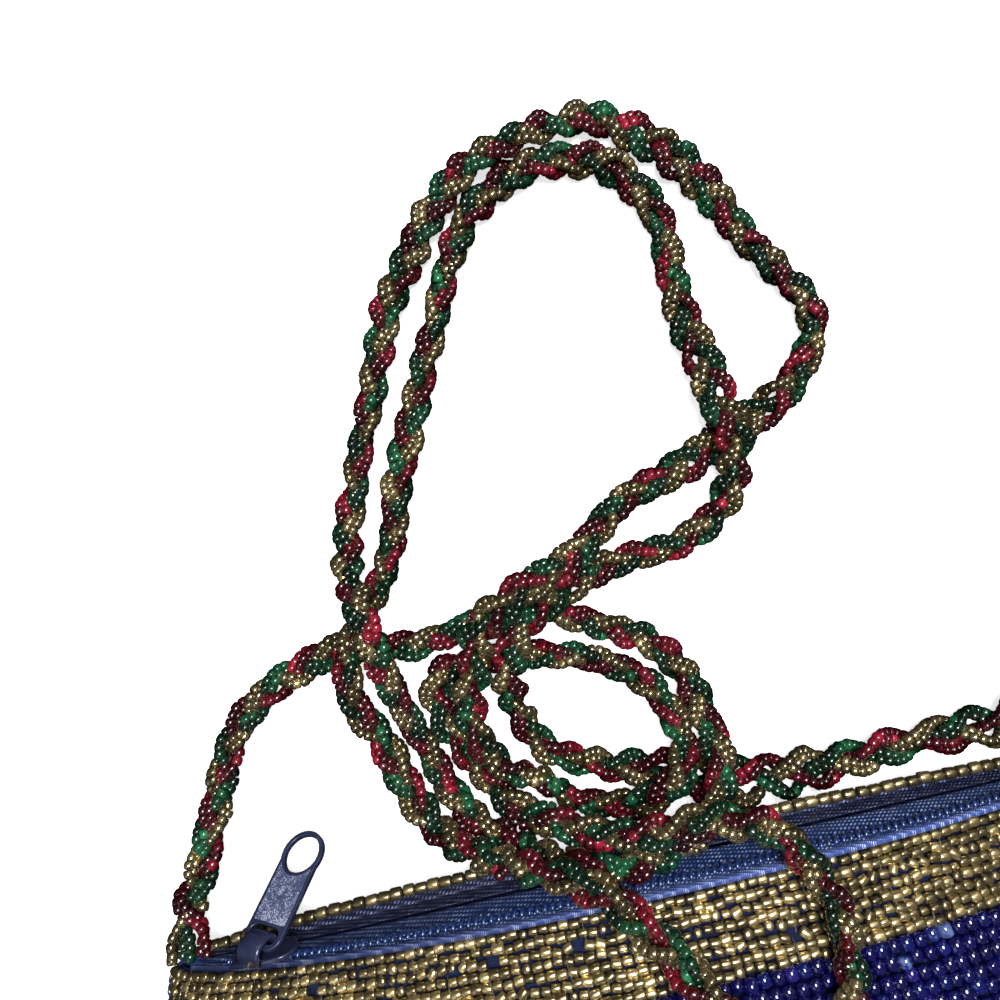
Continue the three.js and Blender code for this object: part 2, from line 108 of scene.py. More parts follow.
# Strap route: x, y, z of the plait's centre line, in millimetres, in the order that it runs
STRAP_ROUTE = (
    # left end, up and round the ring
    (-79.6, 73.2, 6.5), (-79.8, 76, 4.5), (-78, 80, 2.8), (-74.2, 88, 2.5), (-66, 103.5, 2.5),
    (-52, 112, 2.5), (-43, 112.8, 2.5), (-33.5, 111, 2.5), (-21, 113, 2.5), (-15.5, 113, 2.5),
    (-9, 111, 2.5), (-1, 107.5, 2.5), (6, 103, 2.5), (10.5, 96.5, 2.5), (13, 89.5, 3),
    (13.2, 83.5, 6), (11.5, 78.7, 9.2),
    # over the zip and out again
    (8.2, 75.6, 12.5), (3, 73.6, 15), (-3, 72.8, 16.1), (-9, 72.6, 16.1), (-14, 73.4, 15.3),
    (-19, 75.1, 13), (-24.5, 77.2, 8), (-30, 81, 3.8), (-32.9, 87, 2.5), (-35.3, 94, 2.5),
    (-37, 101, 3.6), (-38, 108, 7.6), (-38.2, 114, 11),
    # outer loop
    (-38.8, 119.5, 12), (-40.3, 125.5, 7.4), (-39.8, 132, 3.2), (-36.2, 141, 2.5), (-27.5, 162, 2.5),
    (-20.5, 174.2, 2.5), (-12.6, 183.4, 3.5), (-7.3, 187.2, 4.7), (-2.3, 189.8, 4.8),
    (8.8, 192.1, 4.3), (17.9, 191.8, 2.6), (25.4, 187.3, 2.5), (30.8, 180.8, 2.5),
    (40.3, 163.3, 2.5), (45.2, 155.6, 2.5), (46, 148.4, 2.5),
    (42, 142, 2.5), (35.5, 137, 2.5), (20.5, 131.5, 2.5), (6, 126, 3.5), (-1, 121.8, 6.5),
    (-7.5, 118.7, 10.5), (-13.5, 116.7, 12.8), (-18.2, 114.5, 12.2),
    # middle leg, under the pile, inner ring and its turn
    (-21.8, 111, 9.8), (-23.4, 106.5, 8.2), (-25, 102, 7.4), (-25.5, 97, 7.6), (-24.2, 92, 7.8),
    (-21.6, 88.2, 7.8), (-16.9, 84.5, 5.6), (-12, 79.6, 3.2), (-6, 76.9, 2.9), (-1, 76.7, 4.8),
    (2.8, 78.5, 7.6), (5.8, 81.5, 8.6), (7.8, 86, 5.5), (7, 91, 3), (3.5, 97, 2.5),
    (-3, 101.5, 2.5), (-10.5, 104, 2.5), (-17.5, 105.5, 2.5), (-24, 106, 2.5), (-29, 105, 2.5),
    (-31, 101.5, 2.5), (-30.3, 97, 2.5), (-29, 93, 2.5), (-26.7, 88.6, 2.5),
    # over the pile, down the front and back
    (-24.6, 84, 2.8), (-21.2, 80.5, 6), (-16, 79.9, 12.2), (-10, 79, 17), (-4, 78.2, 19.4),
    (3, 78.6, 20.6), (9, 78.4, 21.2), (13.5, 77, 21.5), (17.2, 73.6, 22), (19.4, 69.3, 22.6),
    (20.4, 64.8, 24.5), (20.3, 59.8, 26.8), (18.9, 54.1, 28.9), (16, 49.6, 30.5), (11.4, 47.3, 31.2),
    (6.3, 48.7, 31), (3.2, 52.4, 30), (0.5, 56.2, 28.7), (-2.3, 61.4, 26.5), (-5.1, 65.7, 24.4),
    (-8.2, 69.5, 22.9), (-12, 73, 21.9), (-16.8, 75.4, 20.6), (-22, 76.6, 17.6), (-27.5, 77.2, 12.6),
    (-33.2, 78, 6.9), (-37, 81.2, 3.4), (-39.3, 86, 2.5), (-40.4, 91.5, 2.5), (-42.5, 97.5, 2.7),
    (-44.5, 103, 4.6), (-44.5, 108.5, 7.2), (-43, 113.3, 7.6), (-40, 117.6, 6.6),
    # inner loop
    (-37, 121.3, 4.4), (-34, 126.5, 2.5), (-28.5, 141, 2.5), (-18.8, 160.8, 2.5), (-10.4, 177.1, 2.5),
    (-4.5, 183.3, 2.5), (4, 186.5, 2.5), (13.5, 186.3, 2.5), (20, 182.5, 2.5), (23.5, 175.5, 2.5),
    (25, 157.5, 2.5), (25.3, 148.1, 4.8), (25.7, 140.6, 7.8), (27.1, 133.5, 8), (26.2, 126.7, 4.6),
    (21.9, 121, 2.5), (15.5, 118, 2.5), (8.5, 117.2, 2.5), (1, 116.8, 3.2), (-6, 114.8, 6),
    (-12, 112.6, 8),
    # right leg and the run to the right end
    (-16, 109.3, 8), (-18, 105.3, 8), (-18.4, 99.5, 5.2), (-17.4, 93.5, 2.6), (-14.8, 89, 2.5),
    (-10.3, 85.6, 2.5), (-4.3, 83, 2.5), (3, 80.6, 2.5), (10.3, 77.3, 2.5), (17.8, 75.7, 2.5),
    (28, 75, 2.5), (46.5, 75.2, 2.5), (65, 75.4, 2.5), (76, 75.4, 3.8), (81, 73.2, 6.5),
)
# Where the strands run on past the plait's two ends, onto the corners of the mouth
LEFT_ANCHOR = (-79.7, 69.4, 8.2)
RIGHT_ANCHOR = (81.1, 69.4, 8.2)


def colour_prop(name, description, default):
    return FloatVectorProperty(
        name=name, description=description, default=default, subtype="COLOR", size=3, min=0.0, max=1.0
    )


def length_prop(name, description, default):
    return FloatProperty(
        name=name, description=description, default=default, unit="LENGTH", precision=5, min=0.0
    )


class BagStrapSettings(bpy.types.PropertyGroup):
    """Sizes and colours of the plaited strap."""

    bead_diameter: length_prop("Bead diameter", "Outer diameter of a strap bead", 1.85 * MM)
    bead_pitch: length_prop("Bead pitch", "Distance between beads on a string", 1.34 * MM)
    plait_repeat: length_prop("Plait repeat", "Length in which a strand sways there and back", 15.5 * MM)
    pair_gap: length_prop("Pair gap", "Distance between the two strings of a strand", 1.22 * MM)
    pair_twist: length_prop(
        "Pair twist", "Length in which a strand's two strings change places twice", 22 * MM
    )
    strand_sway: length_prop("Strand sway", "How far a strand sways to each side", 1.56 * MM)
    strand_lift: length_prop("Strand lift", "How far a strand rises and dips at a crossing", 1.2 * MM)
    red: colour_prop("Garnet", "Body colour of the red beads", (0.044, 0.0014, 0.0044))
    green: colour_prop("Green", "Body colour of the green beads", (0.002, 0.0195, 0.0078))
    gold: colour_prop("Gold", "Body colour of the lined gold beads", (0.3, 0.235, 0.112))


class BagPouchSettings(bpy.types.PropertyGroup):
    """Sizes and colours of the pouch's cloth and of the beads sewn on it."""

    bead_diameter: length_prop("Bead diameter", "Outer diameter of a sewn bead", 2.15 * MM)
    row_pitch: length_prop("Row pitch", "Distance between the rows of the blue field", 2.0 * MM)
    bead_pitch: length_prop("Bead pitch", "Distance between beads in a row of the blue field", 1.95 * MM)
    band_depth: length_prop("Band depth", "Depth of the gold band below the lip", 11.6 * MM)
    ground_inset: length_prop("Ground inset", "Depth of the satin below the bead tops", 1.6 * MM)
    slump: length_prop("Slump", "Depth of the soft hollows in the front", 0.6 * MM)
    seed: IntProperty(name="Seed", description="Seed of the beads' scatter", default=11, min=0)
    blue: colour_prop("Cobalt", "Body colour of the blue beads", (0.0042, 0.0042, 0.073))
    satin: colour_prop("Satin", "Colour of the blue satin", (0.024, 0.042, 0.15))
    navy: colour_prop("Navy satin", "Colour of the dark facing", (0.006, 0.0095, 0.036))


class BagZipSettings(bpy.types.PropertyGroup):
    """Sizes and colours of the zip, its slider and its pull."""

    rib_pitch: length_prop("Rib pitch", "Distance between the ribs of the tape's twill", 0.55 * MM)
    coil_pitch: length_prop("Coil pitch", "Distance between the turns of the coil", 1.2 * MM)
    tab_length: length_prop("Tab length", "From the crossbar's centre to the tip", 18.4 * MM)
    tab_width: length_prop("Tab width", "Width of the tab", 7.2 * MM)
    ring_radius: length_prop("Ring radius", "Outer radius of the ring end", 3.9 * MM)
    hole_radius: length_prop("Hole radius", "Radius of the hole in the ring end", 3.1 * MM)
    tape: colour_prop("Tape", "Colour of the zip tape", (0.0145, 0.037, 0.148))
    enamel: colour_prop("Enamel", "Colour of the slider and the pull", (0.033, 0.04, 0.098))


class BagStageSettings(bpy.types.PropertyGroup):
    """Floor, lights and camera."""

    floor: colour_prop("Floor", "Colour of the floor", (0.94, 0.94, 0.94))
    key_power: FloatProperty(
        name="Key power", description="Power of the overhead light", default=3.0, min=0.0
    )
    sky: FloatProperty(
        name="Sky", description="Strength of the even light all round", default=0.14, min=0.0
    )
    camera_place: FloatVectorProperty(
        name="Camera place", description="Where the camera stands", default=(-0.013, 0.132, 0.1316),
        subtype="XYZ", unit="LENGTH", size=3,
    )
    camera_turn: FloatProperty(
        name="Camera turn", description="Turn of the camera about the upright", default=math.radians(-13),
        subtype="ANGLE",
    )
    lens: FloatProperty(name="Lens", description="Focal length in millimetres", default=27.0, min=1.0)


# Shared mesh helpers


def mesh_object(name, points, faces, smooth=True):
    """New object from an array of points and an array of triangles or quads."""
    points = np.asarray(points, dtype=np.float32)
    faces = np.asarray(faces, dtype=np.int32)
    corners = faces.shape[1]
    mesh = bpy.data.meshes.new(name)
    mesh.vertices.add(len(points))
    mesh.vertices.foreach_set("co", points.ravel())
    mesh.loops.add(faces.size)
    mesh.loops.foreach_set("vertex_index", faces.ravel())
    mesh.polygons.add(len(faces))
    mesh.polygons.foreach_set("loop_start", np.arange(0, faces.size, corners, dtype=np.int32))
    mesh.update(calc_edges=True)
    mesh.validate()
    if smooth:
        mesh.shade_smooth()
    obj = bpy.data.objects.new(name, mesh)
    bpy.context.scene.collection.objects.link(obj)
    return obj


def point_values(obj, name, values):
    """Stores one number, or one vector, for each point of obj's mesh."""
    values = np.asarray(values, dtype=np.float32)
    if values.ndim == 1:
        layer = obj.data.attributes.new(name, "FLOAT", "POINT")
        layer.data.foreach_set("value", values)
    else:
        layer = obj.data.attributes.new(name, "FLOAT_VECTOR", "POINT")
        layer.data.foreach_set("vector", values.ravel())


def finish_piece(obj, body, material, slot_name, *nodes):
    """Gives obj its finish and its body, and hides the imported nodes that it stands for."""
    obj.data.materials.append(material)
    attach(obj, body)
    if nodes:
        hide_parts(*nodes)
    return obj


def wall(outer, inner):
    """Points and quads of a closed wall between two grids of points, of shape (rows, columns, 3)."""
    rows, columns = outer.shape[:2]
    points = np.concatenate([outer.reshape(-1, 3), inner.reshape(-1, 3)])
    index = np.arange(rows * columns).reshape(rows, columns)
    under = index + rows * columns

    def quads(a, b, c, d):
        return np.stack([a, b, c, d], axis=-1).reshape(-1, 4)

    faces = [
        quads(index[:-1, :-1], index[:-1, 1:], index[1:, 1:], index[1:, :-1]),
        quads(under[:-1, :-1], under[1:, :-1], under[1:, 1:], under[:-1, 1:]),
        quads(index[:-1, 0], index[1:, 0], under[1:, 0], under[:-1, 0]),
        quads(index[:-1, -1], under[:-1, -1], under[1:, -1], index[1:, -1]),
        quads(index[0, :-1], under[0, :-1], under[0, 1:], index[0, 1:]),
        quads(index[-1, :-1], index[-1, 1:], under[-1, 1:], under[-1, :-1]),
    ]
    return points, np.concatenate(faces)


def edge_shares(columns):
    """Places from -1 to 1, closer together towards both ends."""
    return np.sin(np.pi * (np.arange(columns + 1) / columns - 0.5))


def unit(vectors):
    return vectors / np.maximum(np.linalg.norm(vectors, axis=-1, keepdims=True), 1e-12)


# Bead shells: share of half the length along the string, share of the radius
STRUNG_BEAD = ((-1.0, 0.8), (-0.5, 0.985), (0.5, 0.985), (1.0, 0.8))
SEWN_BEAD = ((-1.0, 0.6), (-0.66, 0.97), (0.66, 0.97), (1.0, 0.6))
BAND_BEAD = ((-1.0, 0.6), (-0.87, 0.9), (-0.6, 1.0), (0.6, 1.0), (0.87, 0.9), (1.0, 0.6))
STRUNG_SIDES = 8
SEWN_SIDES = 8


def bead_shell(profile, sides):
    """Points, quads and end shares of one closed bead about the X axis; sides is even."""
    angles = np.arange(sides) * 2 * np.pi / sides
    points = []
    ends = []
    for along, radius in profile:
        for angle in angles:
            points.append((along, radius * math.cos(angle), radius * math.sin(angle)))
            ends.append(abs(along) ** 3)
    faces = []
    for ring in range(len(profile) - 1):
        for side in range(sides):
            beside = (side + 1) % sides
            low, high = ring * sides, (ring + 1) * sides
            faces.append((low + side, low + beside, high + beside, high + side))
    last = (len(profile) - 1) * sides
    for side in range(sides // 2 - 1):
        cap = (side, side + 1, sides - 2 - side, sides - 1 - side)
        faces.append(tuple(reversed(cap)))
        faces.append(tuple(last + corner for corner in cap))
    return np.array(points), np.array(faces), np.array(ends)


def bead_cloud(name, centres, axes, radii, half_lengths, tones, profile, sides, random):
    """One object of many beads, with each bead's tone and its share towards the hole as point values."""
    shell, quads, ends = bead_shell(profile, sides)
    count = len(centres)
    axes = unit(np.asarray(axes))
    helper = np.where(np.abs(axes[:, 2:3]) < 0.8, UP, np.array([1.0, 0.0, 0.0]))
    side = unit(np.cross(axes, helper))
    rise = np.cross(axes, side)
    roll = random.uniform(0, 2 * np.pi, (count, 1))
    side, rise = side * np.cos(roll) + rise * np.sin(roll), rise * np.cos(roll) - side * np.sin(roll)
    points = (
        np.asarray(centres)[:, None, :]
        + axes[:, None, :] * (shell[None, :, 0:1] * np.reshape(half_lengths, (-1, 1, 1)))
        + side[:, None, :] * (shell[None, :, 1:2] * np.reshape(radii, (-1, 1, 1)))
        + rise[:, None, :] * (shell[None, :, 2:3] * np.reshape(radii, (-1, 1, 1)))
    )
    faces = quads[None, :, :] + (np.arange(count) * len(shell))[:, None, None]
    obj = mesh_object(name, points.reshape(-1, 3), faces.reshape(-1, 4))
    point_values(obj, "tone", np.repeat(tones, len(shell)))
    point_values(obj, "hole", np.tile(ends, count))
    return obj


# Pouch surfaces


def smooth_step(values, low, high):
    share = np.clip((np.asarray(values) - low) / (high - low), 0.0, 1.0)
    return share * share * (3 - 2 * share)


def puff(share, power=PUFF_POWER, roundness=PUFF_ROUNDNESS):
    return np.maximum(0.0, 1 - np.abs(share) ** power) ** roundness


def seam_height(y):
    return SIDE_SEAM_Z + (MOUTH_SEAM_Z - SIDE_SEAM_Z) * smooth_step(y, SEAM_RISE_START, LIP_Y)


def outline_reach(y, inset):
    y = np.asarray(y, dtype=float)
    below_mouth = np.clip((LIP_Y - y) / FLARE_LENGTH, 0.0, 1.0)
    side = MOUTH_HALF_WIDTH + (HALF_WIDTH - MOUTH_HALF_WIDTH) * (1 - (1 - below_mouth) ** 2)
    below = np.maximum(0.0, BOTTOM_Y + CORNER_RADIUS - y)
    rounding = CORNER_RADIUS - inset
    return side - CORNER_RADIUS + np.sqrt(np.maximum(0.0, rounding**2 - below**2))


def crown_height(y, inset):
    y = np.asarray(y, dtype=float)
    seam = seam_height(y)
    upper_share = np.clip((y - CROWN_Y) / (LIP_Y - CROWN_Y), 0, None)
    upper = FRONT_LIP_Z - inset + (CROWN_Z - FRONT_LIP_Z) * (1 - upper_share**LIP_FALL_POWER)
    lower_share = np.clip((CROWN_Y - y) / (CROWN_Y - BOTTOM_Y - inset), 0, 1)
    lower = seam + (CROWN_Z - inset - seam) * puff(lower_share)
    return np.where(y > CROWN_Y, upper, lower)


def slump_depth(x, y):
    """Soft hollows of an unfilled front, from 0 to 1."""
    wide = np.sin(x / (19 * MM) + 0.6) * np.sin(y / (23 * MM) + 1.1)
    slant = np.sin((x + 0.7 * y) / (13 * MM) + 2.0)
    fine = np.sin((0.6 * x - y) / (9 * MM)) * 0.5
    return np.clip(0.5 + 0.28 * wide + 0.16 * slant + 0.12 * fine, 0.0, 1.0)


def front_height(x, y, inset, slump):
    reach = np.maximum(outline_reach(y, inset), 1e-6)
    seam = seam_height(y)
    across = np.clip(np.asarray(x) / reach, -1.0, 1.0)
    swell = puff(across)
    height = seam + (crown_height(y, inset) - seam) * swell
    return height - slump * slump_depth(x, y) * swell**2


def front_normal(x, y, inset, slump):
    step = 0.4 * MM
    rise_x = front_height(x + step, y, inset, slump) - front_height(x - step, y, inset, slump)
    rise_y = front_height(x, y + step, inset, slump) - front_height(x, y - step, inset, slump)
    return unit(np.stack([-rise_x, -rise_y, np.full_like(rise_x, 2 * step)], axis=-1))


def back_lip(x):
    share = puff(np.asarray(x) / MOUTH_HALF_WIDTH, BACK_LIP_POWER, BACK_LIP_ROUNDNESS)
    return LIP_Y + BACK_LIP_BULGE * share, MOUTH_SEAM_Z - SEAM_GAP + BACK_LIP_RISE * share


def lip_sag(x):
    """How far the edge of the back lip sags towards the zip, more so at the right."""
    return LIP_SAG * (0.25 + 0.75 * smooth_step(x, -35 * MM, 40 * MM))


def zip_slope(x):
    """Foot of the slope that the zip lies on, the way up it and its outward normal, at x."""
    x = np.asarray(x, dtype=float)
    back_y, back_z = back_lip(x)
    clear_y = LIP_Y + GAP + STRIP_THICKNESS
    front_z = front_height(x, np.full_like(x, LIP_Y), 0.0, 0.0)
    foot_y = np.maximum(back_y - 3 * RIM_RADIUS, clear_y + GAP)
    foot = np.stack([x, foot_y, back_z + GAP + STRIP_THICKNESS], -1)
    head = np.stack([x, np.full_like(x, clear_y), front_z - GAP], -1)
    along = head - foot
    out = unit(np.stack([np.zeros_like(x), along[..., 2], -along[..., 1]], -1))
    return foot, along, out


# Finishes
GRAIN_SCALE = 900.0
TONE_JITTER = 0.3
RIPPLE_SCALE = 1400.0
FLOAT_STRETCH = (0.35, 4.5, 1.0)
RIB_SLANT = 0.9
FLOAT_STAGGER = -0.3
BREAK_STRETCH = (1.2, 1.0, 1.0)
# Where along the mouth, in millimetres, the twills' painted shade is deepest and where it has faded out
SHADIEST_X, UNSHADED_X = -65.0, 15.0

# Beads: tones as place and share of the colour, then the share of it at the ends, partly the hole and
# partly painted shade between beads, and the shader's values
BEAD_LOOKS = {
    # Glass: its top tones, up to nine times the body colour, are a painted glow of light through the glass
    "glass": {
        "tones": ((0.0, 0.25), (0.45, 0.85), (0.75, 3.0), (1.0, 9.0)),
        "hole": 0.2, "end_shade": 0.15, "metallic": 0.0, "roughness": 0.2,
    },
    "gold": {
        "tones": ((0.0, 0.4), (0.5, 1.0), (0.8, 1.7), (1.0, 3.2)),
        "hole": 0.12, "end_shade": 0.5, "metallic": 0.85, "roughness": 0.19,
    },
    "lined": {
        "tones": ((0.0, 0.4), (0.5, 1.2), (0.8, 2.2), (1.0, 3.2)),
        "hole": 0.15, "end_shade": 0.6, "metallic": 0.9, "roughness": 0.3,
    },
    "cobalt": {
        "tones": ((0.0, 0.5), (0.45, 1.0), (0.7, 1.7)),
        # Painted glints: the top tones turn pale and coloured beads into glints of light
        "flashes": (
            (0.82, (0.014, 0.007, 0.13)), (0.93, (0.004, 0.02, 0.12)), (1.0, (0.12, 0.17, 0.4)),
        ),
        "glints": (
            (0.0, (0.9, 0.9, 1.0)), (0.3, (0.72, 0.66, 1.0)),
            (0.45, (0.6, 0.95, 1.0)), (0.8, (1.0, 1.0, 1.0)),
        ),
        "hole": 0.5, "end_shade": 0.5, "metallic": 0.0, "roughness": 0.06,
    },
}
# Twills: colour of the floats' painted highlight, ribs against the tape's pitch, length of a float, share
# of colour left by the painted shade at the slider's end
TWILL_LOOKS = {
    "tape": {"floats": (0.42, 0.56, 0.98), "ribs": 1.3, "float_mm": 1.0, "end_depth": 0.5},
    "dark": {"floats": (0.18, 0.22, 0.46), "ribs": 1.3, "float_mm": 1.0, "end_depth": 0.6},
    "pale": {"floats": (0.55, 0.66, 0.98), "ribs": 0.6, "float_mm": 0.6, "end_depth": 0.22},
}


def new_finish(name):
    material = bpy.data.materials.new(name)
    material.use_nodes = True
    nodes = material.node_tree.nodes
    return material, nodes, material.node_tree.links, nodes["Principled BSDF"]


def set_inputs(node, values):
    for name, value in values.items():
        node.inputs[name].default_value = value


def add_attribute(nodes, name, output="Fac"):
    """Output that reads one of the mesh's point values."""
    attribute = nodes.new("ShaderNodeAttribute")
    attribute.attribute_name = name
    return attribute.outputs[output]


def add_math(nodes, links, operation, *values):
    """Output of a sum of up to three values, each a number or another node's output."""
    node = nodes.new("ShaderNodeMath")
    node.operation = operation
    for socket, value in zip(node.inputs, values):
        if isinstance(value, bpy.types.NodeSocket):
            links.new(value, socket)
        else:
            socket.default_value = value
    return node.outputs["Value"]


def add_ramp(nodes, links, stops, source):
    """Output of a colour ramp over source."""
    ramp = nodes.new("ShaderNodeValToRGB")
    elements = ramp.color_ramp.elements
    while len(elements) < len(stops):
        elements.new(0.5)
    for element, (place, colour) in zip(elements, stops):
        element.position = place
        element.color = (*colour, 1.0)
    links.new(source, ramp.inputs["Fac"])
    return ramp.outputs["Color"]


def add_noise(nodes, links, scale, detail, source=None, stretch=None):
    """Output of a noise over the object's own space, or over source; stretch scales its three axes."""
    noise = nodes.new("ShaderNodeTexNoise")
    set_inputs(noise, {"Scale": scale, "Detail": detail})
    if source is None:
        source = nodes.new("ShaderNodeTexCoord").outputs["Object"]
    if stretch is not None:
        mapping = nodes.new("ShaderNodeMapping")
        mapping.inputs["Scale"].default_value = stretch
        links.new(source, mapping.inputs["Vector"])
        source = mapping.outputs["Vector"]
    links.new(source, noise.inputs["Vector"])
    return noise.outputs["Fac"]


def add_bump(nodes, links, shader, height, strength, distance):
    bump = nodes.new("ShaderNodeBump")
    set_inputs(bump, {"Strength": strength, "Distance": distance})
    links.new(height, bump.inputs["Height"])
    links.new(bump.outputs["Normal"], shader.inputs["Normal"])


def scaled(colour, factor):
    return tuple(min(1.0, channel * factor) for channel in colour)


def bead_finish(name, colour, look):
    """Glass bead: tone picks the body colour, whose brightest tones are painted light; the ends darken
    towards the hole, partly the hole and partly painted shade between beads; glints tint the shine.
    """
    material, nodes, links, shader = new_finish(name)
    stops = tuple((place, scaled(colour, share)) for place, share in look["tones"])
    tone = add_attribute(nodes, "tone")
    grain = add_noise(nodes, links, GRAIN_SCALE, 2.0)
    middle = add_math(nodes, links, "SUBTRACT", tone, TONE_JITTER / 2)
    jitter = add_math(nodes, links, "MULTIPLY_ADD", grain, TONE_JITTER, middle)
    body = add_ramp(nodes, links, stops + look.get("flashes", ()), jitter)
    shade = add_math(nodes, links, "MULTIPLY", add_attribute(nodes, "hole"), look["end_shade"])
    # Painted shade: the bead darkens towards its ends, partly for the hole and partly for the shade between
    # beads
    darken = nodes.new("ShaderNodeMix")
    darken.data_type = "RGBA"
    links.new(shade, darken.inputs["Factor"])
    links.new(body, darken.inputs["A"])
    darken.inputs["B"].default_value = (*scaled(colour, look["hole"]), 1.0)
    links.new(darken.outputs["Result"], shader.inputs["Base Color"])
    set_inputs(shader, {"Metallic": look["metallic"], "Roughness": look["roughness"]})
    set_inputs(shader, {"IOR": 1.5, "Coat Roughness": 0.04})
    if "glints" in look:
        set_inputs(shader, {"Specular IOR Level": 1.0})
        links.new(add_ramp(nodes, links, look["glints"], tone), shader.inputs["Specular Tint"])
    else:
        set_inputs(shader, {"Specular IOR Level": 0.2, "Coat Weight": 1.0})
    add_bump(nodes, links, shader, add_noise(nodes, links, RIPPLE_SCALE, 1.0), 0.08, 0.0001)
    return material


def satin_finish(name, colour):
    """Satin: long floats of thread along x, fine streaks of light and shade."""
    material, nodes, links, shader = new_finish(name)
    lay = add_attribute(nodes, "lay", "Vector")
    streak = add_noise(nodes, links, 1.0, 3.0, lay, FLOAT_STRETCH)
    cloud = add_math(nodes, links, "MULTIPLY", add_noise(nodes, links, 0.09, 3.0, lay), 0.4)
    blend = add_math(nodes, links, "MULTIPLY_ADD", streak, 0.6, cloud)
    stops = ((0.3, scaled(colour, 0.45)), (0.52, colour), (0.72, scaled(colour, 1.9)))
    links.new(add_ramp(nodes, links, stops, blend), shader.inputs["Base Color"])
    set_inputs(shader, {"Roughness": 0.34, "Specular IOR Level": 0.3})
    set_inputs(shader, {"Sheen Weight": 0.05, "Sheen Roughness": 0.4})
    add_bump(nodes, links, shader, streak, 0.35, 0.0002)
    return material


def matte_ground_finish(name, colour):
    """Satin ground between the beads, given a colour darkened to a painted shade: dull, with faint painted
    streaks of light and shade along its floats of thread.
    """
    material, nodes, links, shader = new_finish(name)
    streak = add_noise(nodes, links, 1.0, 3.0, add_attribute(nodes, "lay", "Vector"), FLOAT_STRETCH)
    stops = ((0.3, scaled(colour, 0.5)), (0.7, scaled(colour, 1.6)))
    links.new(add_ramp(nodes, links, stops, streak), shader.inputs["Base Color"])
    set_inputs(shader, {"Roughness": 0.8, "Specular IOR Level": 0.1})
    add_bump(nodes, links, shader, streak, 0.35, 0.0002)
    return material


def wave_of(nodes, links, source, pitch):
    """Output of a sine wave of a distance in millimetres, from 0 to 1."""
    turn = add_math(nodes, links, "MULTIPLY", source, 2 * math.pi / pitch)
    return add_math(nodes, links, "MULTIPLY_ADD", add_math(nodes, links, "SINE", turn), 0.5, 0.5)


def twill_finish(name, colour, pitch, look):
    """Twill: slanting ribs broken into short floats, with a painted highlight on the floats, and painted
    shade darkening it towards the slider's end.
    """
    material, nodes, links, shader = new_finish(name)
    lay = add_attribute(nodes, "lay", "Vector")
    parts = nodes.new("ShaderNodeSeparateXYZ")
    links.new(lay, parts.inputs["Vector"])
    along, across = parts.outputs["X"], parts.outputs["Y"]
    slanted = add_math(nodes, links, "MULTIPLY_ADD", across, RIB_SLANT, along)
    staggered = add_math(nodes, links, "MULTIPLY_ADD", along, FLOAT_STAGGER, across)
    ribs = wave_of(nodes, links, slanted, pitch / MM * look["ribs"])
    floats = wave_of(nodes, links, staggered, look["float_mm"])
    dashes = add_math(nodes, links, "MULTIPLY", ribs, floats)
    broken = add_noise(nodes, links, 1.0, 1.0, lay, BREAK_STRETCH)
    weave = add_math(nodes, links, "MULTIPLY", dashes, broken)
    lit = add_math(nodes, links, "MULTIPLY", weave, add_noise(nodes, links, 0.3, 2.0, lay))
    # Painted highlight: where the lit dashes of the floats peak, the colour turns to the floats' highlight
    # colour
    stops = ((0.02, scaled(colour, 0.7)), (0.1, colour), (0.26, look["floats"]))
    # Painted shade: the colour is scaled down towards the slider's end of the mouth
    depth = nodes.new("ShaderNodeMapRange")
    set_inputs(depth, {"From Min": SHADIEST_X, "From Max": UNSHADED_X, "To Min": look["end_depth"]})
    links.new(along, depth.inputs["Value"])
    shade_scale = nodes.new("ShaderNodeVectorMath")
    shade_scale.operation = "SCALE"
    links.new(add_ramp(nodes, links, stops, lit), shade_scale.inputs[0])
    links.new(depth.outputs["Result"], shade_scale.inputs["Scale"])
    links.new(shade_scale.outputs["Vector"], shader.inputs["Base Color"])
    set_inputs(shader, {"Roughness": 0.4, "Specular IOR Level": 0.3})
    add_bump(nodes, links, shader, weave, 0.6, 0.0003)
    return material


def thread_finish(name, colour):
    """Sewing thread: fine twist along its length."""
    material, nodes, links, shader = new_finish(name)
    twist = add_noise(nodes, links, 2500.0, 2.0)
    stops = ((0.3, scaled(colour, 0.5)), (0.7, scaled(colour, 1.3)))
    links.new(add_ramp(nodes, links, stops, twist), shader.inputs["Base Color"])
    set_inputs(shader, {"Roughness": 0.5})
    add_bump(nodes, links, shader, twist, 0.3, 0.0001)
    return material


def nylon_finish(name, colour):
    """Glossy nylon: faint drawn streaks under a hard shine."""
    material, nodes, links, shader = new_finish(name)
    streak = add_noise(nodes, links, 1800.0, 2.0)
    stops = ((0.3, scaled(colour, 0.6)), (0.7, scaled(colour, 1.5)))
    links.new(add_ramp(nodes, links, stops, streak), shader.inputs["Base Color"])
    set_inputs(shader, {"Roughness": 0.22, "Coat Weight": 1.0, "Coat Roughness": 0.05})
    add_bump(nodes, links, shader, streak, 0.2, 0.0001)
    return material


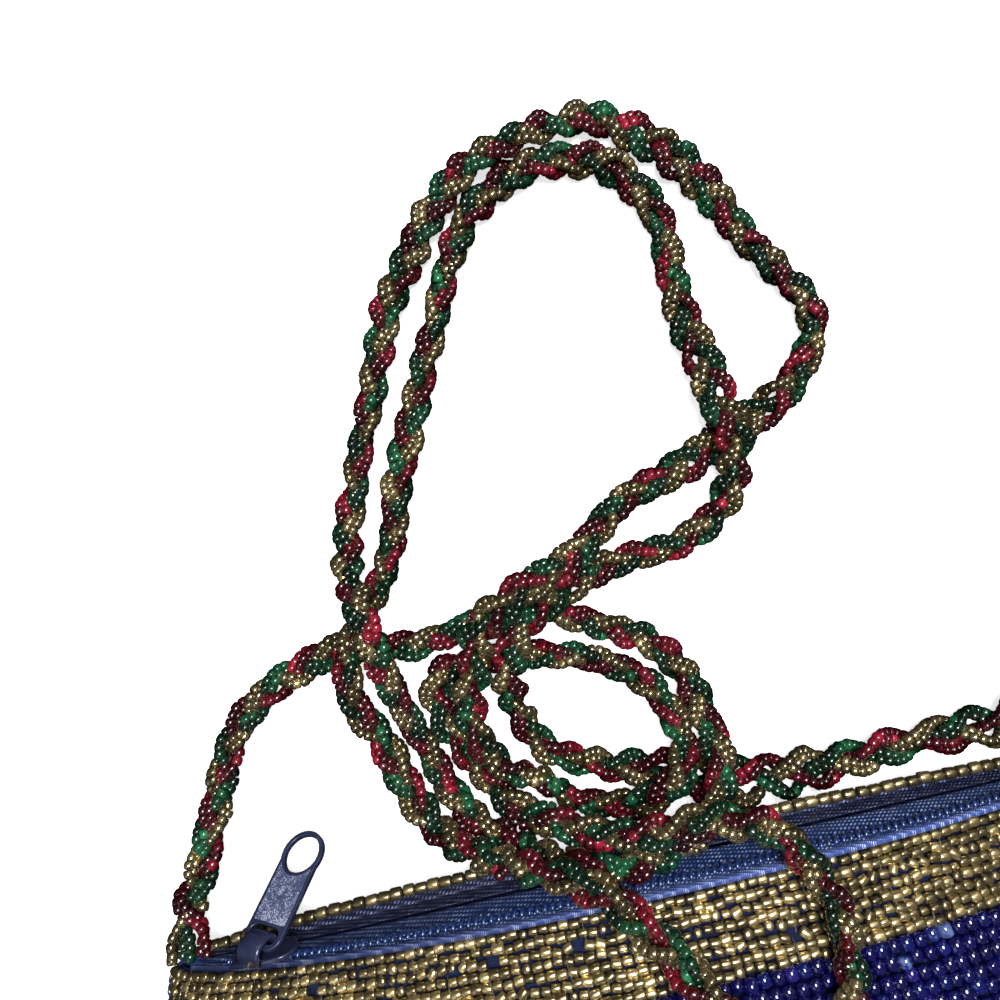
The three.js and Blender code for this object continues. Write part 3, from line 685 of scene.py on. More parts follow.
def enamel_finish(name, colour, roughness, metallic, hammer):
    """Painted cast metal: smooth on the rims, hammered on the panel, with a painted sparkle of highlights
    on the facets.
    """
    material, nodes, links, shader = new_finish(name)
    cloud = add_noise(nodes, links, 260.0, 4.0)
    cells = nodes.new("ShaderNodeTexVoronoi")
    cells.inputs["Scale"].default_value = 8000.0
    coordinates = nodes.new("ShaderNodeTexCoord")
    links.new(coordinates.outputs["Object"], cells.inputs["Vector"])
    facet = nodes.new("ShaderNodeSeparateColor")
    links.new(cells.outputs["Color"], facet.inputs["Color"])
    mixed = add_math(nodes, links, "MULTIPLY_ADD", facet.outputs["Red"], hammer, cloud)
    # Painted highlight: the top of the ramp is a pale painted sparkle on the hammered facets
    stops = (
        (0.25, scaled(colour, 0.6)), (0.62, colour), (0.95, scaled(colour, 2.2)), (1.0, (0.7, 0.75, 0.9)),
    )
    links.new(add_ramp(nodes, links, stops, mixed), shader.inputs["Base Color"])
    set_inputs(shader, {"Metallic": metallic, "Roughness": roughness})
    set_inputs(shader, {"Coat Weight": 0.4, "Coat Roughness": 0.08})
    add_bump(nodes, links, shader, facet.outputs["Green"], 0.15 + 0.5 * hammer, 0.0002)
    return material


# Pieces
GROUND_WALL = 0.7 * MM
# Width of the front's satin laid flat, against the width of the puffed front
FRONT_FULLNESS = 1.12


def front_ground(settings):
    """Satin ground of the front, under its beads, and its flat size."""
    across_steps, y_steps = 72, 60
    slump = settings.slump
    across = edge_shares(across_steps)

    def face(inset):
        share = np.sin(0.5 * np.pi * np.linspace(0, 1, y_steps // 2 + 1))
        lower = CROWN_Y - (CROWN_Y - BOTTOM_Y - inset) * share[::-1]
        upper = np.linspace(CROWN_Y, LIP_Y, y_steps // 2 + 1)[1:]
        y = np.concatenate([lower, upper])[:, None]
        x = outline_reach(y, inset) * across[None, :]
        y = np.broadcast_to(y, x.shape)
        return np.stack([x, y, front_height(x, y, inset, slump)], -1)

    outer = face(settings.ground_inset)
    inner = face(settings.ground_inset + GROUND_WALL)
    points, faces = wall(outer, inner)
    obj = mesh_object("front_satin", points, faces)
    point_values(obj, "lay", points / MM)
    area = float(grid_area(outer))
    width = 2 * HALF_WIDTH * FRONT_FULLNESS
    return obj, (width, area / width)


def grid_area(grid):
    first = np.cross(grid[:-1, 1:] - grid[:-1, :-1], grid[1:, 1:] - grid[:-1, :-1])
    second = np.cross(grid[1:, 1:] - grid[:-1, :-1], grid[1:, :-1] - grid[:-1, :-1])
    return 0.5 * (np.linalg.norm(first, axis=-1).sum() + np.linalg.norm(second, axis=-1).sum())


def back_sheet():
    """Satin back: flat on the table, its edges turned up to the seam and its lip lifted; and its area."""
    columns, flat_rows, lift_rows = 90, 60, 16
    share = edge_shares(columns)
    flat_share = 1 - np.cos(0.5 * np.pi * np.linspace(0, 1, flat_rows + 1))
    flat_y = BOTTOM_Y + (BACK_LIFT_START - BOTTOM_Y) * flat_share
    rows = []
    side = smooth_step(np.abs(share), 0.82, 1)
    for y in flat_y:
        bottom = 1 - smooth_step(y, BOTTOM_Y, BOTTOM_Y + 14 * MM)
        edge = 1 - (1 - side) * (1 - bottom)
        low = edge * (seam_height(y) - SEAM_GAP - SATIN_WALL)
        rows.append(np.stack([share * outline_reach(y, 0), np.full_like(share, y), low], -1))
    lip_y, lip_z = back_lip(share * MOUTH_HALF_WIDTH)
    lip_y = lip_y - 0.9 * MM - lip_sag(share * MOUTH_HALF_WIDTH)
    for lift in np.linspace(0, 1, lift_rows + 1)[1:]:
        y = BACK_LIFT_START + (lip_y - BACK_LIFT_START) * lift
        low = side * (seam_height(np.minimum(y, LIP_Y)) - SEAM_GAP - SATIN_WALL) * (1 - lift**2)
        rows.append(np.stack([share * outline_reach(y, 0), y, low + (lip_z - SATIN_WALL) * lift**2], -1))
    under = np.array(rows)
    top = under + np.array([0, 0, SATIN_WALL])
    points, faces = wall(top, under)
    obj = mesh_object("back_satin", points, faces)
    point_values(obj, "lay", points / MM)
    soften = obj.modifiers.new("rounded edge", "BEVEL")
    soften.width = 0.5 * MM
    soften.segments = 2
    soften.angle_limit = math.radians(50)
    return obj, float(grid_area(under))


def front_spot(x, y, settings):
    """Point of the front's satin at x and y, and its normal."""
    spot_x, spot_y = np.array([x]), np.array([y])
    normal = front_normal(spot_x, spot_y, settings.ground_inset, settings.slump)[0]
    height = front_height(spot_x, spot_y, settings.ground_inset, settings.slump)[0]
    return np.array([x, y, height]), normal


# Blue field: gaps at its edges, how far its beads stray, lean and tip, and their seat in radii
FIELD_SIDE_GAP = 0.6 * MM
FIELD_BOTTOM_GAP = 0.8 * MM
FIELD_STRAY = 0.13 * MM
FIELD_PITCH_STRAY = 0.07 * MM
FIELD_LEAN = 0.16
FIELD_TIP = 0.08
FIELD_SEAT = 0.82
FIELD_LENGTH = 0.92


def sewn_rows(settings, random):
    """Centres and axes of the blue field's beads."""
    radius = settings.bead_diameter / 2
    inset = settings.ground_inset
    centres, axes = [], []
    y = LIP_Y - settings.band_depth
    row = 0
    while y > BOTTOM_Y + FIELD_BOTTOM_GAP + inset:
        reach = outline_reach(y, inset) - FIELD_SIDE_GAP
        x = -reach + (0.5 * settings.bead_pitch if row % 2 else 0.0)
        while x < reach:
            bead_y = y + random.normal(0, FIELD_STRAY)
            spot, normal = front_spot(x, bead_y, settings)
            centres.append(spot + normal * radius * FIELD_SEAT)
            lean = random.normal(0, FIELD_LEAN)
            along = np.array([math.sin(lean), math.cos(lean), 0.0])
            along = along - normal * along.dot(normal) + normal * random.normal(0, FIELD_TIP)
            axes.append(along)
            level = math.sqrt(1 - min(0.99, normal[0] ** 2))
            x += settings.bead_pitch * max(0.25, level) + random.normal(0, FIELD_PITCH_STRAY)
        _, normal = front_spot(0.0, y, settings)
        y -= settings.row_pitch * max(0.22, normal[2])
        row += 1
    return np.array(centres), np.array(axes)


def blue_field(settings):
    """Blue beads below the gold band, in an upper and a lower piece."""
    random = np.random.default_rng(settings.seed)
    centres, axes = sewn_rows(settings, random)
    count = len(centres)
    tones = np.clip(random.beta(1.6, 4.0, count), 0, 1)
    # Painted glints: a few pale beads, then twice as many with a coloured flash, standing for glints of
    # light off the beads
    for least, low in ((0.975, 0.94), (0.95, 0.7)):
        tones = np.where(random.random(count) > least, random.uniform(low, 1.0, count), tones)
    radii = settings.bead_diameter / 2 * random.normal(1.0, 0.05, count)
    upper = centres[:, 1] > np.median(centres[:, 1])
    pieces = []
    for name, chosen in (("front_beads_upper", upper), ("front_beads_lower", ~upper)):
        pieces.append(
            bead_cloud(
                name, centres[chosen], axes[chosen], radii[chosen], radii[chosen] * FIELD_LENGTH,
                tones[chosen], SEWN_BEAD, SEWN_SIDES, random,
            )
        )
    return pieces


# Gold band: depth of a row below the lip in millimetres, lean of its beads, shares of bright and kept ones
BAND_ROWS = (
    {"depth": 0.7, "lean": 0.08, "bright": 0.06, "filled": 1.0},
    {"depth": 2.05, "lean": 0.1, "bright": 0.08, "filled": 1.0},
    {"depth": 3.4, "lean": 0.35, "bright": 0.22, "filled": 0.95},
    {"depth": 4.75, "lean": 0.12, "bright": 0.12, "filled": 1.0},
    {"depth": 6.1, "lean": 0.12, "bright": 0.12, "filled": 1.0},
    {"depth": 7.45, "lean": 0.35, "bright": 0.22, "filled": 0.95},
    {"depth": 8.8, "lean": 0.1, "bright": 0.08, "filled": 1.0},
    {"depth": 10.15, "lean": 0.08, "bright": 0.06, "filled": 1.0},
)
BAND_BEAD_RADIUS = 0.74 * MM
BAND_PITCH = 1.6 * MM
BAND_SIDE_GAP = 1.4 * MM
BAND_STRAY = 0.11 * MM
BAND_PITCH_STRAY = 0.06 * MM
BAND_UPRIGHT = 0.06
BAND_SEAT = 0.85
BAND_LENGTH = 1.12


def gold_band(settings):
    """Rows of gold beads along the mouth, in pairs, with loose beads between the pairs."""
    random = np.random.default_rng(settings.seed + 1)
    centres, axes, tones, radii = [], [], [], []
    for band_row in BAND_ROWS:
        row_y = LIP_Y - band_row["depth"] * MM
        reach = float(outline_reach(row_y, 0)) - BAND_SIDE_GAP
        x = -reach
        while x < reach:
            y = row_y + random.normal(0, BAND_STRAY)
            spot, normal = front_spot(x, y, settings)
            upright = random.random() < BAND_UPRIGHT
            size = BAND_BEAD_RADIUS * random.normal(1.0, 0.08)
            lean = random.normal(0, band_row["lean"])
            along = normal
            if not upright:
                along = np.array([math.cos(lean), math.sin(lean), 0.0])
                along = along - normal * along.dot(normal)
            bright = random.random() < band_row["bright"]
            tone = random.uniform(0.8, 1.0) if bright else random.beta(1.5, 2.0)
            if random.random() < band_row["filled"]:
                centres.append(spot + normal * size * BAND_SEAT)
                axes.append(along)
                tones.append(tone)
                radii.append(size)
            _, slope = front_spot(x, row_y, settings)
            level = slope[2] / max(0.3, math.hypot(slope[0], slope[2]))
            x += BAND_PITCH * max(0.3, level) + random.normal(0, BAND_PITCH_STRAY)
    radii = np.array(radii)
    return bead_cloud(
        "gold_band_beads", centres, axes, radii, radii * BAND_LENGTH,
        np.array(tones), BAND_BEAD, STRUNG_SIDES, random,
    )


def thread_tube(points, radius, sides=6):
    """Points and quads of a thin open-ended tube along points."""
    points = np.asarray(points, dtype=float)
    tangents = unit(np.gradient(points, axis=0))
    helper = np.where(np.abs(tangents[:, 2:3]) < 0.9, UP, np.array([1.0, 0, 0]))
    side = unit(np.cross(tangents, helper))
    rise = np.cross(side, tangents)
    angles = np.arange(sides) * 2 * np.pi / sides
    sideways = side[:, None, :] * np.cos(angles)[None, :, None]
    upward = rise[:, None, :] * np.sin(angles)[None, :, None]
    shell = points[:, None, :] + (sideways + upward) * radius
    index = np.arange(shell.shape[0] * sides).reshape(shell.shape[0], sides)
    beside = np.roll(index, -1, axis=1)
    faces = np.stack([index[:-1], beside[:-1], beside[1:], index[1:]], -1).reshape(-1, 4)
    return shell.reshape(-1, 3), faces


def join_tubes(name, tubes):
    points, faces, start = [], [], 0
    for tube_points, tube_faces in tubes:
        points.append(tube_points)
        faces.append(tube_faces + start)
        start += len(tube_points)
    return mesh_object(name, np.concatenate(points), np.concatenate(faces))


# Stitches: depths of the gold pairs that threads tie down, in millimetres, and counts along the seam
PAIR_DEPTHS = (1.45, 5.7, 9.5)
PAIR_SPAN = 1.7 * MM
BRIDGE_RISE = 1.42 * MM
STITCH_REACH = MOUTH_HALF_WIDTH - 4 * MM
STITCH_SHARES = np.linspace(-1, 1, 7)
SIDE_STITCHES, CORNER_STITCHES, BOTTOM_STITCHES = 60, 22, 64


def band_stitches(settings):
    """Threads that tie the gold rows down, each a short bridge across a pair of rows."""
    random = np.random.default_rng(settings.seed + 2)
    bridge = (1 - STITCH_SHARES**4) * BRIDGE_RISE
    tubes = []
    for pair_depth in PAIR_DEPTHS:
        y = np.minimum(LIP_Y - pair_depth * MM + STITCH_SHARES * PAIR_SPAN, LIP_Y - 0.1 * MM)
        x = -STITCH_REACH
        while x < STITCH_REACH:
            spot_x = x + STITCH_SHARES * random.normal(0, 0.25 * MM)
            height = front_height(spot_x, y, settings.ground_inset, settings.slump)
            tubes.append(thread_tube(np.stack([spot_x, y, height + bridge], -1), 0.05 * MM))
            x += random.uniform(5, 14) * MM
    return join_tubes("band_threads", tubes)


def seam_stitches():
    """Whip stitches that close the side and bottom seam."""
    corner_x, corner_y = HALF_WIDTH - CORNER_RADIUS, BOTTOM_Y + CORNER_RADIUS
    path = []
    for y in np.linspace(LIP_Y - 2 * MM, corner_y, SIDE_STITCHES):
        path.append((-float(outline_reach(y, 0)), y))
    path += arc((-corner_x, corner_y), CORNER_RADIUS, math.pi, 1.5 * math.pi, CORNER_STITCHES)[1:]
    left_side = list(path)
    path += [(x, BOTTOM_Y) for x in np.linspace(-corner_x, corner_x, BOTTOM_STITCHES)[1:]]
    path += [(-x, y) for x, y in reversed(left_side)][1:]
    path = np.array(path)
    along = unit(np.gradient(path, axis=0))
    outward = np.stack([along[:, 1], -along[:, 0]], -1)
    bulge = 0.25 * MM * (1 - STITCH_SHARES**2) - 0.55 * MM * STITCH_SHARES**2
    shift = STITCH_SHARES * 0.5 * MM
    tubes = []
    for place, direction, out in zip(path, along, outward):
        if out.dot(place) < 0:
            out = -out
        height = float(seam_height(place[1])) - SEAM_GAP / 2 + STITCH_SHARES * 1.05 * MM
        run = [place[axis] + out[axis] * bulge + direction[axis] * shift for axis in range(2)]
        tubes.append(thread_tube(np.stack([*run, height], -1), 0.16 * MM))
    return join_tubes("seam_stitches", tubes)


# Rim string: its ends along the mouth, first bead, pitch and half length of a bead
RIM_ENDS = (-76.5 * MM, 78 * MM)
RIM_FIRST = 0.6 * MM
RIM_PITCH = 2.12 * MM
RIM_HALF_LENGTH = 1.04 * MM


def rim_string(settings):
    """One string of gold beads along the back lip."""
    random = np.random.default_rng(settings.seed + 3)
    fine = np.linspace(*RIM_ENDS, 1600)
    lip_y, lip_z = back_lip(fine)
    line = np.stack([fine, lip_y - 0.1 * MM - lip_sag(fine), lip_z + 0.6 * MM], -1)
    centres = even_points(line, np.arange(RIM_FIRST, arc_lengths(line)[-1], RIM_PITCH))
    axes = unit(np.gradient(centres, axis=0))
    centres = centres + random.normal(0, 0.06 * MM, centres.shape)
    axes = axes + random.normal(0, 0.06, axes.shape)
    count = len(centres)
    radii = RIM_RADIUS * random.normal(0.99, 0.05, count)
    half_lengths = RIM_HALF_LENGTH * random.normal(1.0, 0.04, count)
    return bead_cloud(
        "back_rim_string", centres, axes, radii, half_lengths,
        random.beta(2.0, 2.8, count), BAND_BEAD, STRUNG_SIDES, random,
    )


# Strips of the mouth: columns of their grids, their reach to each side and the depth of their two faces
STRIP_COLUMNS = 180
TAPE_REACH = 78 * MM
FACING_REACH = 79 * MM
FACING_STEPS = 3
STRIP_TOP = 0.25 * MM
STRIP_BOTTOM = 0.85 * MM
FACING_OFFSET = np.array([0.0, 0.12, 0.16]) * MM
COIL_BED_SHARES = (0.64, 0.81)
COIL_REACH = 72.4 * MM
COIL_POINTS = 10


def lay_strip(obj, x, across):
    """Gives both faces of a strip their place in its cloth, in millimetres along and across it."""
    along = np.broadcast_to(x[:, None], across.shape)
    lay = np.stack([along, across, np.zeros_like(across)], -1).reshape(-1, 3) / MM
    point_values(obj, "lay", np.concatenate([lay, lay]))


def slope_strip(name, shares, reach, bulge, rows=8):
    """Cloth strip on the zip's slope between two shares of it, with a soft cross section."""
    low, high = shares
    x = reach * edge_shares(STRIP_COLUMNS)
    foot, along, out = zip_slope(x)
    share = np.linspace(0, 1, rows + 1)
    climb = low + (high - low) * share
    swell = 1 - (2 * share - 1) ** 4
    middle = foot[:, None, :] + along[:, None, :] * climb[None, :, None]
    outer = middle + out[:, None, :] * (bulge * swell - STRIP_TOP)[None, :, None]
    points, faces = wall(outer, middle - out[:, None, :] * STRIP_BOTTOM)
    obj = mesh_object(name, points, faces)
    lay_strip(obj, x, np.linalg.norm(along, axis=1)[:, None] * climb[None, :])
    return obj


def back_facing_cloth():
    """Dark facing: from under the rim string, over the back lip and up the foot of the zip's slope."""
    low, high = ZIP_SHARES["back_facing"]
    x = FACING_REACH * edge_shares(STRIP_COLUMNS)
    foot, along, out = zip_slope(x)
    lip_y, lip_z = back_lip(x)
    edge = np.stack([x, lip_y - 0.75 * MM - lip_sag(x), lip_z + 0.3 * MM], -1)
    inner_edge = np.stack([x, foot[:, 1] + 0.1 * MM, lip_z + 0.35 * MM], -1)
    rise = foot + along * low + out * 0.1 * MM
    top = foot + along * high + out * 0.05 * MM
    turns = np.stack([edge, 0.5 * (edge + inner_edge), inner_edge, rise, 0.5 * (rise + top), top], 1)
    outer = np.stack([route_curve(line, FACING_STEPS) for line in turns])
    points, faces = wall(outer, outer - FACING_OFFSET)
    obj = mesh_object("back_facing_cloth", points, faces)
    steps = np.linalg.norm(np.diff(outer, axis=1, prepend=outer[:, :1]), axis=-1)
    lay_strip(obj, x, np.cumsum(steps, axis=1))
    return obj


def zip_turns(settings):
    """Turns of the closed coil: a row of glossy loops along the zip."""
    low, high = ZIP_SHARES["zip_coil"]
    pitch = settings.coil_pitch
    angle = np.linspace(-0.25 * np.pi, 1.25 * np.pi, COIL_POINTS)
    sideways = np.array([1.0, 0, 0]) * (np.linspace(-0.5, 0.5, COIL_POINTS) * pitch * 0.5)[:, None]
    tubes = []
    for turn in range(int(2 * COIL_REACH / pitch)):
        x = -COIL_REACH + (turn + 0.5) * pitch
        foot, along, out = (values[0] for values in zip_slope(np.array([x])))
        middle = foot + along * (low + high) / 2
        half = np.linalg.norm(along) * (high - low) / 2 - 0.1 * MM
        loop = (
            middle
            + unit(along) * (np.cos(angle) * half)[:, None]
            + out * (np.sin(angle) * 0.42 * MM - 0.25 * MM)[:, None]
            + sideways
        )
        tubes.append(thread_tube(loop, 0.36 * MM, 8))
    return join_tubes("zip_coil_turns", tubes)


def flat_curve(name, loops, half_depth, bevel):
    """Mesh of a flat plate with rounded edges: the first loop is its outline, the rest are holes."""
    curve = bpy.data.curves.new(name, "CURVE")
    curve.dimensions = "2D"
    curve.fill_mode = "BOTH"
    curve.extrude = half_depth - bevel
    curve.bevel_depth = bevel
    curve.bevel_resolution = 2
    curve.offset = -bevel
    for loop in loops:
        spline = curve.splines.new("POLY")
        spline.points.add(len(loop) - 1)
        for point, place in zip(spline.points, loop):
            point.co = (place[0], place[1], 0.0, 1.0)
        spline.use_cyclic_u = True
    carrier = bpy.data.objects.new(name, curve)
    bpy.context.scene.collection.objects.link(carrier)
    bpy.context.view_layer.update()
    evaluated = carrier.evaluated_get(bpy.context.evaluated_depsgraph_get())
    mesh = bpy.data.meshes.new_from_object(evaluated)
    bpy.data.objects.remove(carrier)
    bpy.data.curves.remove(curve)
    return mesh


def arc(centre, radius, start, end, steps):
    angles = np.linspace(start, end, steps)
    x, y = centre
    return [(x + radius * math.cos(angle), y + radius * math.sin(angle)) for angle in angles]


def object_from_meshes(name, meshes, materials, indices):
    """Joins meshes into one object; indices gives each mesh's material."""
    joined = bmesh.new()
    for mesh, index in zip(meshes, indices):
        start = len(joined.faces)
        joined.from_mesh(mesh)
        joined.faces.ensure_lookup_table()
        for face in joined.faces[start:]:
            face.material_index = index
            face.smooth = True
    whole = bpy.data.meshes.new(name)
    joined.to_mesh(whole)
    joined.free()
    for mesh in meshes:
        bpy.data.meshes.remove(mesh)
    obj = bpy.data.objects.new(name, whole)
    bpy.context.scene.collection.objects.link(obj)
    for material in materials:
        whole.materials.append(material)
    return obj


def slider_frame():
    """Seat, directions and hinge of the slider on the zip."""
    low, high = ZIP_SHARES["zip_coil"]
    foot, along, out = zip_slope(np.array([SLIDER_X]))
    seat = Vector(foot[0] + along[0] * (low + high) / 2)
    down = -Vector(unit(along[0]))
    out = Vector(out[0])
    joint = frame["joints"][0]
    hinge = Vector(joint["pos_m"])
    axis = Vector(joint["axis"]).normalized()
    return seat, down, out, hinge, axis


def basis(x_axis, y_axis, z_axis, origin):
    turn = Matrix((x_axis, y_axis, z_axis)).transposed().to_4x4()
    return Matrix.Translation(origin) @ turn


def rounded_loop(half, low, high, radius):
    """Points of a rectangle with rounded corners, centred on x."""
    corners = ((half - radius, low + radius, -0.5), (half - radius, high - radius, 0.0),
               (radius - half, high - radius, 0.5), (radius - half, low + radius, 1.0))
    points = []
    for x, y, start in corners:
        points += arc((x, y), radius, start * math.pi, (start + 0.5) * math.pi, 9)
    return points


# Pull: crossbar, corners of its foot, shift along the hinge, eye round the bridge and widths of the rim
PULL_BAR = 0.5 * MM
PULL_FOOT = 2.4 * MM
PULL_SHIFT = 0.3 * MM
EYE_HALF_WIDTH = 2.75 * MM
EYE_HEIGHT = 2.5 * MM
EYE_RADIUS = 1.2 * MM
RIM_SIDE = 0.5 * MM
RIM_FOOT = 0.45 * MM
RIM_RING = 0.6 * MM
# Half depth and rounding of the pull's plate and of its raised rim
PULL_PLATE = (0.36 * MM, 0.06 * MM)
PULL_RIM = (0.5 * MM, 0.14 * MM)


def pull_tab(settings, rim_finish, panel_finish):
    """Pull: a hammered plate in a raised rim, a ring at its tip and an eye round the bridge at its foot."""
    half = settings.tab_width / 2
    ring = settings.ring_radius
    hole = settings.hole_radius
    hole_y = settings.tab_length - ring
    meet = math.acos(min(1.0, half / ring))
    foot_x, foot_y = half - PULL_FOOT, PULL_FOOT - PULL_BAR
    outline = arc((foot_x, foot_y), PULL_FOOT, -0.5 * math.pi, 0, 12)
    outline += arc((0, hole_y), ring, -meet, math.pi + meet, 44)
    outline += arc((-foot_x, foot_y), PULL_FOOT, math.pi, 1.5 * math.pi, 12)
    hole_loop = arc((0, hole_y), hole, 2 * math.pi, 0, 48)[:-1]
    eye_top = PULL_BAR + EYE_HEIGHT
    eye = rounded_loop(EYE_HALF_WIDTH, PULL_BAR, eye_top, EYE_RADIUS)
    panel_half = half - RIM_SIDE
    panel_low = eye_top + RIM_FOOT
    reach = hole + RIM_RING
    shoulder = math.asin(min(1.0, panel_half / reach))
    panel = [(panel_half, panel_low), (-panel_half, panel_low)]
    panel += arc((0, hole_y), reach, 1.5 * math.pi - shoulder, 1.5 * math.pi + shoulder, 22)
    plate = flat_curve("pull_plate", [outline, hole_loop, eye], *PULL_PLATE)
    rim = flat_curve("pull_rim", [outline, hole_loop, eye, panel], *PULL_RIM)
    obj = object_from_meshes("zip_pull_tab", [plate, rim], [rim_finish, panel_finish], [1, 0])
    _, _, _, hinge, axis = slider_frame()
    along = (TAB_DIRECTION - axis * TAB_DIRECTION.dot(axis)).normalized()
    obj.data.transform(basis(axis, along, axis.cross(along), hinge + axis * PULL_SHIFT))
    return obj


def slider_body(finish):
    """Slider: a rounded plate on the coil and an arched hood over the pull's crossbar."""
    seat, down, out, hinge, axis = slider_frame()
    length, head, tail, thick = 9 * MM, 5.6 * MM, 4.4 * MM, 0.8 * MM
    rounding, clearance = 0.22 * MM, 0.3 * MM
    outline = [(-length / 2, -tail / 2), (length / 4, -head / 2)]
    outline += arc((length / 2 - head / 4, 0), head / 2, -math.pi / 2, math.pi / 2, 18)
    outline += [(-length / 2, tail / 2)]
    plate = flat_curve("slider_plate", [outline], thick / 2, rounding)
    plate.transform(basis(Vector((1, 0, 0)), down, out, seat + out * (clearance + thick / 2)))
    outward = (out - axis * out.dot(axis)).normalized()
    lengthwise = outward.cross(axis)
    arch_steps, width_steps = 22, 12
    half_span, rise, band, foot, width = 2.5 * MM, 2.3 * MM, 0.7 * MM, 1.6 * MM, 4.2 * MM
    across = np.linspace(-1, 1, width_steps + 1)
    round_off = np.sqrt(np.maximum(0.0, 1 - 0.5 * np.abs(across) ** 3))

    def shell(inset):
        span, height = half_span - inset, rise - inset
        angles = np.linspace(0, np.pi, arch_steps + 1)
        arch = [(span * math.cos(angle), height * math.sin(angle)) for angle in angles]
        profile = [(span, -foot)] + arch + [(-span, -foot)]
        rows = []
        for place, shrink in zip(across, round_off):
            middle = hinge + axis * (place * width / 2)
            row = []
            for run, lift in profile:
                lifted = lift * shrink if lift > 0 else lift
                row.append(tuple(middle + lengthwise * run * (0.9 + 0.1 * shrink) + outward * lifted))
            rows.append(row)
        return np.array(rows)

    points, faces = wall(shell(0.0), shell(band))
    hood = bpy.data.meshes.new("slider_hood")
    hood.from_pydata(points.tolist(), [], faces.tolist())
    obj = object_from_meshes("zip_slider_body", [plate, hood], [finish], [0, 0])
    turned = bmesh.new()
    turned.from_mesh(obj.data)
    bmesh.ops.recalc_face_normals(turned, faces=turned.faces)
    turned.to_mesh(obj.data)
    turned.free()
    return obj


# Strap


def route_curve(points, steps):
    """Smooth curve through points: centripetal, with steps samples to a span."""
    points = [np.array(p, dtype=float) for p in points]
    first = points[0] * 2 - points[1]
    last = points[-1] * 2 - points[-2]
    padded = [first] + points + [last]
    samples = []
    for span in range(len(points) - 1):
        p0, p1, p2, p3 = padded[span : span + 4]
        pairs = ((p0, p1), (p1, p2), (p2, p3))
        gap0, gap1, gap2 = (math.sqrt(np.linalg.norm(b - a)) for a, b in pairs)
        slope1 = ((p1 - p0) / gap0 - (p2 - p0) / (gap0 + gap1) + (p2 - p1) / gap1) * gap1
        slope2 = ((p2 - p1) / gap1 - (p3 - p1) / (gap1 + gap2) + (p3 - p2) / gap2) * gap1
        share = np.linspace(0, 1, steps, endpoint=False)[:, None]
        samples.append(
            p1 + slope1 * share
            + (-3 * p1 + 3 * p2 - 2 * slope1 - slope2) * share**2
            + (2 * p1 - 2 * p2 + slope1 + slope2) * share**3
        )
    samples.append(points[-1][None, :])
    return np.concatenate(samples)


def arc_lengths(line):
    return np.concatenate([[0], np.cumsum(np.linalg.norm(np.diff(line, axis=0), axis=1))])


def even_points(line, places):
    length = arc_lengths(line)
    return np.stack([np.interp(places, length, line[:, axis]) for axis in range(3)], -1)


def line_frame(line):
    """Sideways and upward directions at each point of a line."""
    tangent = unit(np.gradient(line, axis=0))
    side = unit(np.cross(tangent, UP))
    return side, np.cross(side, tangent)


# Strands of the plait: phase of their sway, and their place where they splay at the ends, in millimetres
STRANDS = (
    {"name": "red", "phase": 0.0, "splay": 2.3},
    {"name": "green", "phase": 1 / 3, "splay": -0.6},
    {"name": "gold", "phase": 2 / 3, "splay": -3.0},
)
ROUTE_STEPS = 24
ROUTE_SPACING = 0.4 * MM
SPLAY_LENGTH = 9 * MM
SPLAY_HELD = 0.3
# Waves along the plait: size, length in millimetres, start, and share of the strand's phase in it
TURN_WAVES = ((0.45, 27, 0.4, 0), (0.3, 10.3, 1.7, 0), (0.22, 12.1, 0, 11))
SLACK_WAVES = ((0.2, 9.5, 1.3, 0), (0.13, 23, 0.5, 0), (0.14, 5.6, 0, 5))
PAIR_WAVES = ((0.8, 17, 0, 3),)
SWAY_PEAK = 0.28
# The last run, up to the right end, is plaited more loosely
LOOSE_LENGTH = 96 * MM
LOOSE_START = 0.7
LOOSE_SWAY = 1.0
LOOSE_REPEAT = 0.3
# The two strings of a strand wind in a flat oval
PAIR_FLATNESS = 0.6
PAIR_PHASE = 2.3
# The loop's right side, past these x and y, is a little looser than its left
SIDE_SWAY = 0.35
SIDE_X = (0.0, 30 * MM)
SIDE_Y = (110 * MM, 125 * MM)
# Tones along a string: size, length in millimetres, turn from strand to strand and from string to string
TONE_MIDDLE = 0.42
TONE_WAVES = ((0.16, 6.1, 1, 0.5), (0.24, 1.7, 2, 0.7))
FLOOR_CLEARANCE = 1.06


def plait_waves(places, rows, phase):
    return sum(
        size * np.sin(places / (length * MM) + start + share * phase) for size, length, start, share in rows
    )


